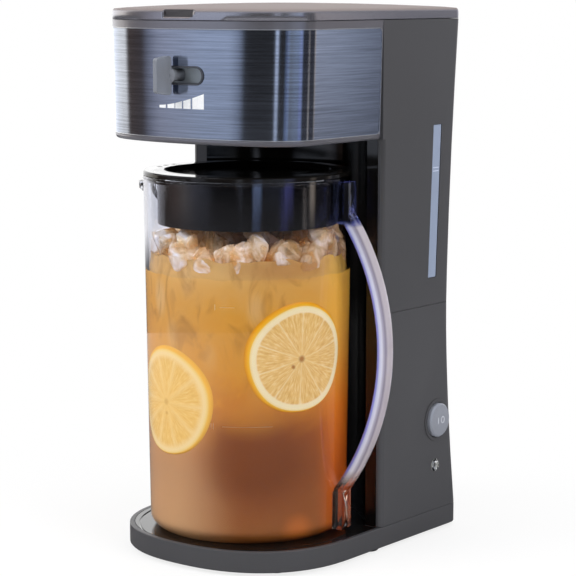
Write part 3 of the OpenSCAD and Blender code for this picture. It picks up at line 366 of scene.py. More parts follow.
def tea_liquid(tree, shader, where):
    """Cloudy iced tea: golden where melting ice thins it, amber below, a painted brown shadow under the ice, painted
    light along its edge on the right, and blurred pale blocks of ice behind the wall with painted shadows of the ice
    among them."""
    height = add(tree, "SeparateXYZ", where).outputs["Z"]
    across = add(tree, "VectorMath", where, ACROSS, operation="DOT_PRODUCT")
    flat = add(tree, "CombineXYZ", across, height)

    def faded(value, start, end, most=1.0):
        return add(tree, "MapRange", value, start, end, 0.0, most, interpolation_type="SMOOTHSTEP")

    def patch(u, z, wide, tall, most, hard=0.3):
        """A soft oval patch: its distance from the middle in half widths, faded out round one."""
        place = add(tree, "Mapping", Vector=flat, Location=(-u / wide, -z / tall, 0), Scale=(1 / wide, 1 / tall, 0))
        return faded(add(tree, "VectorMath", place, operation="LENGTH"), 2 - hard, hard, most)

    drift = add(tree, "TexNoise", Vector=where, Scale=24.0, Detail=4.0, Roughness=0.55, Distortion=0.6)
    level = add(tree, "MapRange", add(tree, "Math", drift, 0.05, height, operation="MULTIPLY_ADD"), 0.02, 0.22)
    body = ramp(tree, level, (0.0, "#a8642a"), (0.1, "#a26028"), (0.25, "#965220"), (0.36, "#a4581c"),
                (0.48, "#c87a20"), (0.62, "#dc9a2e"), (0.8, "#dca23e"), (1.0, "#deb06a"))
    # blocks of ice drawn about 25 mm wide, blurred by the tea in front of them
    leaning = add(tree, "Mapping", Vector=where, Rotation=(0.5, 0.35, 0.2), Scale=(46.0, 46.0, 24.0))
    blocks = add(tree, "TexVoronoi", Vector=leaning, Scale=1.0, Smoothness=0.25, feature="SMOOTH_F1")
    shade = add(tree, "TexNoise", Vector=leaning, Scale=1.3, Detail=3.0, Distortion=1.4)
    high = faded(height, 0.085, 0.16)
    for code, *shares in (
            ("#e6c893", faded(blocks, 0.42, 0.1, 0.5), high),
            # painted shadows of the ice: dark patches where the leaning noise is high, in the upper part
            ("#94631f", faded(shade, 0.46, 0.76, 0.6), high),
            ("#e09a26", faded(height, 0.19, 0.1), faded(height, 0.075, 0.1), faded(shade, 0.46, 0.28, 0.6)),
            ("#f0c48e", faded(across, 0.0, -0.05, 0.6), faded(height, 0.25, 0.0)),
            # painted shadow: a brown oval under the ice
            ("#7c3d0c", patch(0.009, 0.06, 0.033, 0.03, 0.75, 0.5)),
            ("#dc7a30", patch(0.034, 0.008, 0.008, 0.009, 0.7)),
            ("#e09838", patch(0.004, 0.09, 0.02, 0.012, 0.45)),
            ("#a2601e", patch(0.028, 0.1875, 0.03, 0.007, 0.5))):
        body = laid_over(tree, body, code, *shares)
    # painted light: a brighter orange along the tea's edge on the right
    edge = ramp(tree, faded(height, 0.02, 0.17), (0.0, "#e06c1e"), (0.45, "#f28a26"), (1.0, "#fac04c"))
    fill(shader, Roughness=0.35, IOR=1.34,
         Base_Color=add(tree, "Mix", faded(across, 0.044, 0.064, 0.9), body, edge, data_type="RGBA"))


def lemon_section(tree, shader, where, soft=0.0):
    """A cut lemon on its own UV of (out, round): waxy yellow rind, pale pith, wet segments with rounded ends split by
    thin membranes, and brown pips of the core. Soft blurs it, as cloudy tea in front of it does."""
    flat = add(tree, "UVMap", uv_map="slice")
    out, turn, _ = add(tree, "SeparateXYZ", flat).outputs
    # millimetres from the nearest of ten membranes, and from the pith; a smooth least of the two rounds the ends
    wave = add(tree, "Math", turn, 0.05, operation="PINGPONG")
    beside = add(tree, "Math", product(tree, wave, out), 250.0, -0.35, operation="MULTIPLY_ADD")
    within = add(tree, "Math", out, -42.0, 33.2, operation="MULTIPLY_ADD")
    least = add(tree, "Math", beside, within, 2.6, operation="SMOOTH_MIN")
    cell = add(tree, "MapRange", least, -0.7 - soft, 0.5 + 2 * soft)
    strands = add(tree, "Mapping", Vector=flat, Scale=(7.0, 120.0, 1.0))
    pulp = add(tree, "TexNoise", Vector=strands, Scale=1.0, Detail=2.0)
    flesh = ramp(tree, pulp, (0.25, "#e0ae5c"), (0.5, "#efc77a"), (0.8, "#fde6ae"))
    skin = ramp(tree, out, (0.0, "#f6d894"), (0.7, "#fbe9b8"), (0.86, "#fdf0c6"), (0.9, "#fbe6a0"),
                (0.915 + 0.02 * soft, "#f9c22c"), (0.96, "#f4ae10"), (1.0, "#dd9410"))
    face = add(tree, "Mix", cell, skin, flesh, data_type="RGBA")
    # a round pip in the middle, and one beside it
    for place, scale in (((0, 0, 0), (1 / 0.055, 0, 0)),
                         ((-0.2 / 0.03, -0.66 / 0.03, 0), (1 / 0.03, 1 / 0.03, 0))):
        pip = add(tree, "Mapping", Vector=flat, Location=place, Scale=scale)
        away = add(tree, "VectorMath", pip, operation="LENGTH")
        face = laid_over(tree, face, "#a8661c", add(tree, "MapRange", away, 1.4, 0.5, 0.0, 0.85 - 0.3 * soft))
    if soft:
        face = laid_over(tree, face, "#ffd470", 0.45 * soft)
    fill(shader, Base_Color=face, Roughness=0.3, IOR=1.36)


def melting_ice(tree, shader, where):
    """Melting ice: clear and wet with clouded cores, warmed by the tea round it."""
    cloud = add(tree, "TexNoise", Vector=where, Scale=90.0, Detail=3.0, Distortion=0.8)
    across = add(tree, "VectorMath", where, ACROSS, operation="DOT_PRODUCT")
    golden = add(tree, "MapRange", across, -0.03, 0.06, 0.0, 0.5)
    tone = ramp(tree, cloud, (0.3, "#f4cc80"), (0.5, "#fbe8c4"), (0.7, "#ffffff"))
    fill(shader, Roughness=0.04, IOR=1.31, Base_Color=laid_over(tree, tone, "#eab454", golden),
         Normal=add(tree, "Bump", Strength=0.35, Distance=0.0012, Height=cloud),
         Transmission_Weight=add(tree, "MapRange", cloud, 0.42, 0.68, 0.75, 0.2))
    lit_through(tree, shader, "#fbf0dc")


def printed_white(tree, shader, where):
    """Screen-printed white ink: flat and slightly chalky."""
    speck = add(tree, "TexNoise", Vector=where, Scale=900.0, Detail=2.0)
    fill(shader, Base_Color=ramp(tree, speck, (0.3, "#e6e9ee"), (0.7, "#f6f7f9")), Roughness=0.45)


# what each finish is, the record's slot for it, its recipe, and the recipe's values: a colour is a hex value, or the
# name of one in the finish group
FINISHES = {
    "housing": ("charcoal satin ABS", "housing", moulded_satin, "housing"),
    "base": ("dark charcoal satin ABS", "housing", moulded_satin, "base"),
    "lid": ("satin metallic lid coat", "housing", lid_coat, "lid"),
    "head": ("dark metallic head coat", "housing", painted_silver, "head", 0.32, 0.75),
    "edge": ("polished sheet edge", "panel", turned_steel, "#d6dae2", 0.2),
    "gloss": ("polished black ABS", "gloss_black", polished_black, "gloss"),
    "inner": ("plain black PP", "inner_plastic", moulded_satin, "#1d1e20", 0.5),
    "panel": ("dark brushed stainless", "panel", brushed_metal, "panel"),
    "bezel": ("grey satin bezel", "bezel", painted_silver, "#4a4d55"),
    "lever": ("silver satin lever", "lever", painted_silver, "#8f939c"),
    "button": ("grey satin button", "button", painted_silver, "#9da1ac", 0.42),
    "button_mark": ("pale printed mark", "button", painted_silver, "#c3c6cf", 0.5, 0.1),
    "shutter": ("pale blue-grey shutter", "lever", painted_silver, "#c2ccd4", 0.4),
    "foot": ("black rubber", "foot", rubber, "#151515"),
    "steel": ("zinc plated steel", "steel", turned_steel, "#b4b6ba"),
    "mesh": ("etched steel mesh", "mesh", turned_steel, "#94979c", 0.35),
    "heater": ("drawn aluminium", "heater", turned_steel, "#c6c9cd", 0.32),
    "clip": ("pressed steel clip", "clip", turned_steel, "#7d8085", 0.36),
    "ceramic": ("glazed ceramic", "ceramic", moulded_satin, "#d8d4c8", 0.3),
    "hose": ("milky silicone", "hose", moulded_satin, "#d9d9d2", 0.45),
    "tank": ("smoky clear SAN", "tank", clear_plastic, "#b9c3d2", 0.12),
    "window": ("frosted blue-grey SAN", "window", moulded_satin, "window", 0.3),
    "lens": ("clear jewel acrylic", "lens", clear_plastic, "#f4f6fa"),
    "tick": ("pale printed tick", "window", moulded_satin, "#c9d2e2", 0.4),
    "jug": ("clear SAN", "jug_clear", clear_plastic, "jug"),
    "frost": ("frosted SAN", "jug_clear", clear_plastic, "#ffffff", 0.4),
    "handle": ("lilac clear SAN", "jug_clear", thick_clear_bow, "handle"),
    "tea": ("cloudy iced tea", "jug_clear", tea_liquid),
    "lemon": ("cut lemon", "jug_clear", lemon_section),
    "veiled_lemon": ("cut lemon behind cloudy tea", "jug_clear", lemon_section, 1.0),
    "ice": ("melting ice", "jug_clear", melting_ice),
    "ink": ("white ink", "panel", printed_white),
}


@functools.cache
def finish(key):
    """Makes each finish once, when a piece first needs it."""
    name, slot, recipe, *values = FINISHES[key]
    looks = bpy.context.scene.tea_maker_finish
    made = bpy.data.materials.new(name)
    made.use_nodes = True
    made["finish_slot"] = slot
    tree = made.node_tree
    where = add(tree, "TexCoord").outputs["Object"]
    values = [getattr(looks, value, value) if isinstance(value, str) else value for value in values]
    recipe(tree, tree.nodes["Principled BSDF"], where, *values)
    return made


class TeaMakerFinish(bpy.types.PropertyGroup):
    """Colours of the finishes, as sRGB hex values."""
    housing: StringProperty(name="Housing", description="Satin charcoal of the column", default="#464649")
    base: StringProperty(name="Base", description="Satin charcoal of the base", default="#464649")
    lid: StringProperty(name="Lid", description="Metallic grey of the top lid", default="#a09fa8")
    head: StringProperty(name="Head", description="Dark metallic grey of the head", default="#8a8991")
    gloss: StringProperty(name="Gloss", description="Polished black of the liner and seat", default="#0b0a0a")
    panel: StringProperty(name="Panel", description="Brushed metal of the front", default="#a7b0c2")
    window: StringProperty(name="Window", description="Frosted water window", default="#8f9bb2")
    jug: StringProperty(name="Jug", description="Tint of the clear jug", default="#f3f5fd")
    handle: StringProperty(name="Handle", description="Tint of the clear handle", default="#d9dcf4")


class TeaMakerSizes(bpy.types.PropertyGroup):
    """Sizes of the pieces that only the looks have."""
    tea_level: FloatProperty(name="Tea level", description="Height of the tea over the seat", default=0.193,
                             unit="LENGTH", min=0.05, max=0.21)
    slice_radius: FloatProperty(name="Slice radius", description="Radius of the lemon slices", default=0.038,
                                unit="LENGTH", min=0.02, max=0.045)
    ice_count: IntProperty(name="Ice", description="Number of ice pieces at the top of the tea", default=74, min=8,
                           max=120)
    sharpness: FloatProperty(name="Edge softness", description="Width of the softened moulded edges", default=0.0004,
                             unit="LENGTH", min=0.0001, max=0.001)


class TeaMakerStage(bpy.types.PropertyGroup):
    """Light and floor of the stage."""
    level: FloatProperty(name="Level", description="Plain light level of the surroundings", default=0.85, min=0.1,
                         max=2.0)
    floor: FloatVectorProperty(name="Floor", description="Colour of the floor", subtype="COLOR",
                               default=(0.9, 0.9, 0.9), min=0.0, max=1.0)


# ---------- pieces ----------

class TEAMAKER_OT_stage(bpy.types.Operator):
    """Makes the camera, the pale floor, the lamps and the surroundings that gloss and glass show"""
    bl_idname = "teamaker.stage"
    bl_label = "Stage"

    def execute(self, context):
        scene = context.scene
        scene.view_settings.view_transform = "Standard"
        eye = bpy.data.cameras.new("camera")
        eye.lens, eye.sensor_width, eye.clip_start, eye.clip_end = 127.245, 36.0, 0.05, 20.0
        right, up, ahead = map(Vector, (
            (0.787, 0.61695, 0), (-0.08991, 0.11469, 0.98932), (-0.61036, 0.7786, -0.14573)))
        camera = scene.camera = linked("camera", eye)
        camera.matrix_world = Matrix.Translation((0.88271, -1.08095, 0.37133)) @ Matrix(
            (right, up, -ahead)).transposed().to_4x4()
        self.floor(scene.tea_maker_stage.floor)
        self.surroundings(scene)
        for name, place, aim, size, power in (
                ("key lamp", (-0.9, -1.2, 1.5), (0, 0, 0.15), (1.2, 1.0), 25.0),
                ("side lamp", (1.6, -0.2, 1.2), (0, 0.05, 0.2), (0.9, 1.2), 17.0),
                ("top lamp", (0.1, 0.3, 1.7), (0, 0, 0.2), (1.0, 1.0), 8.0)):
            lamp = bpy.data.lights.new(name, "AREA")
            lamp.shape, lamp.size, lamp.size_y, lamp.energy = "RECTANGLE", *size, power
            made = linked(name, lamp)
            made.location = place
            made.rotation_mode = "QUATERNION"
            made.rotation_quaternion = (Vector(aim) - Vector(place)).to_track_quat("-Z", "Y")
            made.visible_glossy = made.visible_camera = False
        return {"FINISHED"}

    def floor(self, colour, reach=0.9):
        """A level disc under the feet, in rings: white to the camera, with the object's faint shadow in the middle,
        and dim to gloss, as a studio table is."""
        r = reach * np.linspace(0, 1, 24) ** 1.5
        coords, faces = revolved(np.stack([r, np.full_like(r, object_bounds()[0][2])], 1), 64)
        material = bpy.data.materials.new("pale floor")
        material.use_nodes = True
        tree = material.node_tree
        light = add(tree, "LightPath").outputs
        far = add(tree, "VectorMath", add(tree, "TexCoord").outputs["Object"], operation="LENGTH")
        dim = add(tree, "Mix", add(tree, "MapRange", far, 0.3, 0.88), (0.16, 0.16, 0.17, 1), (0.42, 0.42, 0.43, 1),
                  data_type="RGBA")
        tone = add(tree, "Mix", light["Is Glossy Ray"], (*colour, 1), dim, data_type="RGBA")
        matt = fill(tree.nodes["Principled BSDF"], Base_Color=tone, Roughness=0.9, Specular_IOR_Level=0.0)
        share = add(tree, "MapRange", far, 0.12, 0.42, 0.8, 1.0, interpolation_type="SMOOTHSTEP")
        clear = add(tree, "Math", light["Is Camera Ray"], light["Is Transmission Ray"], operation="MAXIMUM")
        glow = add(tree, "Emission", Color=(1, 1, 1, 1), Strength=1.0)
        both = add(tree, "MixShader", product(tree, clear, share), matt, glow)
        fill(tree.nodes["Material Output"], Surface=both)
        floor = wrapped("floor", mesh_of("floor", coords, faces), material)
        if floor.data.polygons[0].normal.z < 0:
            floor.data.flip_normals()
        floor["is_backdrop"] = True

    def surroundings(self, scene):
        """White to the camera and straight through glass; to gloss, a studio of pale cards and dark gaps round the
        compass, with three narrow lamps lower down; to everything else, a plain grey."""
        world = scene.world = bpy.data.worlds.new("studio")
        world.use_nodes = True
        tree = world.node_tree
        tree.nodes.clear()
        x, y, up = add(tree, "SeparateXYZ", add(tree, "TexCoord").outputs["Generated"]).outputs
        azimuth = add(tree, "Math", y, x, operation="ARCTAN2")
        share = add(tree, "MapRange", azimuth, -math.pi, math.pi)

        def band(*stops):
            """A ramp round the compass, from (degrees, hex colour) pairs."""
            return ramp(tree, share, *(((degrees + 180) / 360, code) for degrees, code in stops))

        def blend(start, end, one, other):
            return add(tree, "Mix", add(tree, "MapRange", up, start, end), one, other, data_type="RGBA")

        cards = band(
            (-180, "#fffaf0"), (-169, "#fdf6ea"), (-165, "#4a3c34"), (-150, "#453d3b"), (-146, "#74757f"),
            (-139, "#a2a3ae"), (-122, "#adb5c4"), (-106, "#b3bbca"), (-99, "#8d94a2"), (-95, "#1e1d1a"),
            (-63, "#1d1c1a"), (-60.5, "#e6eeff"), (-58, "#e6eeff"), (-56, "#1d1c1a"), (-42, "#1f1f1c"),
            (-38, "#80858c"), (-18, "#9aa6ba"), (-2, "#98a5bc"), (4, "#2e2e34"), (46, "#38363a"), (48.5, "#cfc0b2"),
            (51.5, "#bfb4aa"), (52.4, "#b7c0d6"), (53.4, "#bfc6d2"), (54, "#9294a0"), (54.8, "#4a4c56"),
            (57, "#3c3e46"), (80, "#a9a9ad"), (108, "#ffffff"), (165, "#ffffff"), (180, "#fffaf0"))
        lamps = band(
            (-180, "#a8a6a4"), (-178, "#6b6563"), (-174, "#3c322e"), (-152, "#463c38"), (-136, "#857672"),
            (-126, "#8b8683"), (-112, "#605f68"), (-86, "#1e1e22"), (-46, "#121215"), (-43.5, "#b4ccff"),
            (-37, "#a6c2fa"), (-34.5, "#1c1c22"), (-11, "#1a1a20"), (-8, "#7c7ed2"), (-1, "#6e70c0"), (2, "#16161a"),
            (21, "#141414"), (23, "#fff0e0"), (27.5, "#fbe8d6"), (30, "#26262c"), (50, "#30303a"), (70, "#50505c"),
            (108, "#e8e8ec"), (180, "#a8a6a4"))
        sky = blend(0.25, 0.7, cards, linear("#8e9096"))
        ring = blend(-0.096, -0.088, lamps, sky)
        ground = blend(-0.14, -0.122, linear("#4c4c4e"), ring)
        light = add(tree, "LightPath").outputs
        matted = add(tree, "Math", light["Diffuse Depth"], 1.0, operation="MINIMUM")
        mirrored = add(tree, "Math", light["Glossy Depth"], 1.0, operation="MINIMUM")
        unmatted, unmirrored = (add(tree, "Math", 1.0, part, operation="SUBTRACT") for part in (matted, mirrored))
        direct = product(tree, light["Is Transmission Ray"], product(tree, unmatted, unmirrored))
        clear = add(tree, "Math", light["Is Camera Ray"], direct, operation="MAXIMUM")
        shining = add(tree, "Math", light["Is Glossy Ray"], product(tree, mirrored, unmatted), operation="MAXIMUM")
        # what reaches the drink through the clear wall comes from a light room
        room = add(tree, "Math", product(tree, light["Is Transmission Ray"], 1.6), scene.tea_maker_stage.level * 0.6,
                   operation="ADD")
        plain = add(tree, "Background", Color=linear("#ffffff"), Strength=room)
        gloss = add(tree, "Background", Color=ground, Strength=1.6)
        white = add(tree, "Background", Color=(1, 1, 1, 1), Strength=1.0)
        first = add(tree, "MixShader", shining, plain, gloss)
        add(tree, "OutputWorld", Surface=add(tree, "MixShader", clear, first, white))


class TEAMAKER_OT_housings(bpy.types.Operator):
    """Makes the satin and glossy moulded pieces of the base, the column, the head and the lid"""
    bl_idname = "teamaker.housings"
    bl_label = "Housings"

    def execute(self, context):
        soft = context.scene.tea_maker_sizes.sharpness
        for node, body, look, angle, bevel in (
                ("base_housing", "machine", "base", 34, soft), ("lower_housing", "machine", "housing", 30, 0),
                ("upper_housing", "machine", "housing", 30, 0), ("head_housing", "machine", "head", 34, 0),
                ("head_underside", "machine", "inner", 34, soft), ("front_liner", "machine", "gloss", 30, 0),
                ("seat_plate", "machine", "gloss", 34, 0.0003), ("slot_bezel", "machine", "bezel", 40, 0.0003),
                ("top_lid", "lid", "lid", 34, 0), ("lid_liner", "lid", "inner", 34, 0)):
            skinned(node, body, look, angle, bevel)
        return {"FINISHED"}


class TEAMAKER_OT_front_panel(bpy.types.Operator):
    """Makes the bowed brushed metal front with its slot, and the printed strength bars under the slot"""
    bl_idname = "teamaker.front_panel"
    bl_label = "Front panel"

    low, high, end, corner, thick = 0.2736, 0.3452, 0.0396, 0.003, 0.0008

    def outline(self, steps):
        """The head's outline as (x, y) at unit half width: flat sides, then half a superellipse, evenly spread."""
        turn = np.linspace(math.pi, 0, 6001)
        x = np.sign(np.cos(turn)) * np.abs(np.cos(turn)) ** (2 / BOW_CURVE)
        y = BOW_Y - BOW * np.maximum(np.sin(turn), 0) ** (2 / BOW_CURVE)
        x = np.concatenate([[-1.0], x, [1.0]])
        y = np.concatenate([[self.end], y, [self.end]])
        run = np.concatenate([[0], np.cumsum(np.hypot(np.diff(x * HALF_W), np.diff(y)))])
        even = np.linspace(0, run[-1], steps)
        return np.interp(even, run, x), np.interp(even, run, y), even

    def shell(self, steps=420, rows=14):
        """A thin closed sheet: rows between the edges, rounded at its corners, doubled inwards by its thickness."""
        x, y, run = self.outline(steps)
        from_end = np.minimum(run, run[-1] - run)
        cut = np.where(from_end < self.corner, self.corner - np.sqrt(
            np.maximum(self.corner ** 2 - (self.corner - from_end) ** 2, 0)), 0)
        z = (self.low + cut)[:, None] + (self.high - self.low - 2 * cut)[:, None] * np.linspace(0, 1, rows)
        px = x[:, None] * head_half(z)
        py = np.broadcast_to(y[:, None], z.shape)
        tx, ty = np.gradient(px, axis=0), np.gradient(py, axis=0)
        size = np.hypot(tx, ty)
        outer, inner = (np.stack([px + ty / size * out, py - tx / size * out, z], 2) for out in (PROUD, -self.thick))
        ring = np.concatenate([outer, inner[:, ::-1]], 1)
        count = ring.shape[1]
        row = np.arange(rows - 1)
        cap = np.stack([row, row + 1, count - 2 - row, count - 1 - row], 1)
        return ring, [grid_faces(steps, count, round_v=True), cap, (cap + (steps - 1) * count)[:, ::-1]]

    def cutter(self, steps=96, room=0.0026):
        """A prism whose outline is the slot's stadium, run from in front of the panel to behind it."""
        turn = circle(steps)
        half, round_r = (SLOT_L - SLOT_H) / 2, (SLOT_H + room) / 2
        x = SLOT_X + round_r * np.cos(turn) + np.where(np.cos(turn) >= 0, half, -half)
        z = SLOT_Z + round_r * np.sin(turn)
        coords = np.concatenate([np.stack([x, np.full_like(x, depth), z], 1) for depth in (-0.09, -0.05)])
        mesh = bpy.data.meshes.new("slot cutter")
        caps = [list(range(steps)), list(range(2 * steps - 1, steps - 1, -1))]
        mesh.from_pydata(coords.tolist(), [], grid_faces(2, steps, round_v=True).tolist() + caps)
        shape = bmesh.new()
        shape.from_mesh(mesh)
        bmesh.ops.recalc_face_normals(shape, faces=shape.faces)
        shape.to_mesh(mesh)
        shape.free()
        return linked("slot cutter", mesh)

    def execute(self, context):
        panel = wrapped("brushed_front", mesh_of("brushed_front", *self.shell()), finish("panel"), 40)
        tool = self.cutter()
        trim = panel.modifiers.new("slot", "BOOLEAN")
        trim.operation, trim.object, trim.solver = "DIFFERENCE", tool, "EXACT"
        context.view_layer.update()
        cut = bpy.data.meshes.new_from_object(panel.evaluated_get(context.evaluated_depsgraph_get()))
        panel.modifiers.clear()
        panel.data = cut
        cut.set_sharp_from_angle(angle=math.radians(40))
        bpy.data.objects.remove(tool)
        if len(cut.polygons) < 1000:
            raise RuntimeError("the slot could not be cut in the panel")
        settle(panel, "machine", "front_panel")
        self.edge()
        self.bars()
        return {"FINISHED"}

    def edge(self, radius=0.00036, inset=0.0002):
        """The sheet's polished edge: a small circle carried round the rim, a rectangle with quarter-circle corners
        that is drawn in (length, height) and then bent to the head's outline."""
        x, y, run = self.outline(4000)
        left, right, low, high = run[0] + inset, run[-1] - inset, self.low + inset, self.high - inset
        c, turn = self.corner, np.linspace(0, math.pi / 2, 8)
        sides = np.linspace(left + c, right - c, 420)
        arc = lambda a, z, start: np.stack([a + c * np.cos(start + turn), z + c * np.sin(start + turn)], 1)
        loop = np.concatenate([
            np.stack([sides, np.full_like(sides, low)], 1), arc(right - c, low + c, -math.pi / 2)[1:],
            arc(right - c, high - c, 0), np.stack([sides[::-1], np.full_like(sides, high)], 1)[1:],
            arc(left + c, high - c, math.pi / 2)[1:], arc(left + c, low + c, math.pi)[:-1]])
        a, z = loop.T
        path = np.stack([np.interp(a, run, x) * head_half(z), np.interp(a, run, y), z], 1)
        tx, ty = np.interp(a, run, np.gradient(x, run)) * HALF_W, np.interp(a, run, np.gradient(y, run))
        size = np.hypot(tx, ty)
        out = np.stack([ty / size, -tx / size, np.zeros_like(a)], 1)
        along = np.roll(path, -1, 0) - np.roll(path, 1, 0)
        aside = np.cross(along / np.linalg.norm(along, axis=1)[:, None], out)
        bend = circle(10)[:, None]
        ring = path[:, None] + radius * (np.cos(bend) * out[:, None] + np.sin(bend) * aside[:, None])
        put("panel_edge", ring, [grid_faces(len(path), len(bend), True, True)], "edge", 60, "machine")

    def bars(self, foot=0.2932, least=0.0018, growth=0.0082):
        """Five printed bars that grow to the right: each is a thin slab between a level foot and a concave top."""
        spans = (-0.0168, -0.0112), (-0.0095, -0.0034), (-0.0026, 0.0030), (0.0044, 0.0104), (0.0120, 0.0212)
        first, last = spans[0][0], spans[-1][1]
        bars = []
        for a, b in spans:
            x = np.linspace(a, b, 12)
            top = foot + least + growth * ((x - first) / (last - first)) ** 1.6
            bars.append([(x, bow_front(x, level) - PROUD - out, level) for out, level in (
                (-0.00002, foot), (0.00022, foot), (0.00022, top), (-0.00002, top))])
        put_bars("strength_marks", bars, "ink", 30, "machine")


class TEAMAKER_OT_controls(bpy.types.Operator):
    """Makes the strength lever, the power button with its collar, the indicator lens and the water window"""
    bl_idname = "teamaker.controls"
    bl_label = "Controls"

    def execute(self, context):
        for node, body, look, angle, bevel in (
                ("strength_lever", "strength_control", "lever", 30, 0.0005),
                ("power_button", "power_button", "button", 34, 0.0004),
                ("button_collar", "machine", "housing", 34, 0.0002), ("water_window", "machine", "window", 34, 0.0003),
                ("indicator_lens", "machine", "lens", 20, 0)):
            skinned(node, body, look, angle, bevel)
        self.window_ticks()
        self.button_mark()
        return {"FINISHED"}

    def window_ticks(self, share=0.34, half_height=0.0003):
        """Two short level bars on the window, each a thin slab, placed across the strip between its leaning edges."""
        x, y, z = read(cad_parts["water_window"].data.vertices, "co", float, 3).T
        foot, top = y[z < z.min() + 0.0005], y[z > z.max() - 0.0005]
        half = share * (foot.max() - foot.min())
        bars = []
        for level in (0.2444, 0.2468):
            part = (level - z.min()) / (z.max() - z.min())
            middle = (1 - part) * (foot.min() + foot.max()) / 2 + part * (top.min() + top.max()) / 2
            bars.append([(x.max() + np.array([-0.0002, 0.00012]), middle + a * half, level + b * half_height)
                         for a, b in ((-1, -1), (1, -1), (1, 1), (-1, 1))])
        put_bars("window_ticks", bars, "tick", 30, "machine")

    def button_mark(self, thick=0.00042, least=0.00002):
        """A generic on and off mark on the button's face: a bar and a ring, each a flat band closed on itself."""
        (_, y0, z0), (face, y1, z1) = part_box("power_button")
        turn = circle(48)
        # the ring runs round its middle line; the bar is the same band round a stadium drawn shut
        marks = [[(face + out, (y0 + y1) / 2 + middle + np.cos(turn) * max(wide + grow, least),
                   (z0 + z1) / 2 + np.sin(turn) * (tall + grow))
                  for grow, out in ((-thick, -0.0003), (thick, -0.0003), (thick, 0.0001), (-thick, 0.0001))]
                 for middle, wide, tall in ((0.0027, 0.0019, 0.0022), (-0.0028, 0.0001, 0.0020))]
        put_bars("button_mark", marks, "button_mark", 40, "power_button", closed=True)


class TEAMAKER_OT_jug(bpy.types.Operator):
    """Makes the clear jug with its beak, its handle and its black lid"""
    bl_idname = "teamaker.jug"
    bl_label = "Jug"

    def execute(self, context):
        self.even_wall(skinned("jug", "pitcher", "jug").data)
        skinned("jug_handle", "pitcher", "handle", bevel=0.0006)
        skinned("jug_lid", "pitcher_lid", "gloss", bevel=0.0003)
        self.level_marks()
        return {"FINISHED"}

    def even_wall(self, mesh, upright=0.985, near=0.0003):
        """Gives each corner on the jug's wall the normal of the true cone, (cos t, sin t, -taper), outwards on the
        outside and inwards on the inside, so that lights run straight up it."""
        place = read(mesh.vertices, "co", np.float32, 3)[read(mesh.loops, "vertex_index", np.int32)]
        facing = read(mesh.polygons, "normal", np.float32, 3)
        facing = np.repeat(facing, read(mesh.polygons, "loop_total", np.int32), 0)
        normal = read(mesh.corner_normals, "vector", np.float32, 3)
        radius = np.hypot(place[:, 0], place[:, 1])
        radial = place[:, :2] / np.maximum(radius, 1e-9)[:, None]
        side = (facing[:, :2] * radial).sum(1)
        inwards = radius - wall_radius(place[:, 2])
        wall = (np.abs(side) > upright) & (np.minimum(np.abs(inwards), np.abs(inwards + JUG_WALL)) < near)
        true = np.concatenate([radial, np.full((len(radius), 1), -JUG_TAPER / (JUG_TOP - JUG_LOW))], 1)
        normal[wall] = (np.sign(side)[:, None] * true)[wall]
        mesh.normals_split_custom_set(normal.tolist())

    def level_marks(self):
        """Moulded level lines: thin ribs that follow the wall from one bearing to another, and short upright ones."""
        ribs = []
        for low, high, start, end in (
                (0.0822, 0.0824, -65.3, -37.1), (0.0802, 0.0844, -71.8, -71.6), (0.0802, 0.0844, -70.5, -70.3),
                (0.1628, 0.1630, -66.0, -58.0), (0.1610, 0.1648, -68.9, -68.7)):
            turn = np.radians(np.linspace(start, end, 30))
            ribs.append([((wall_radius(z) + out) * np.cos(turn), (wall_radius(z) + out) * np.sin(turn), z)
                         for z, out in ((low, -0.0001), (low, 0.00014), (high, 0.00014), (high, -0.0001))])
        put_bars("level_marks", ribs, "frost", 40, "pitcher")


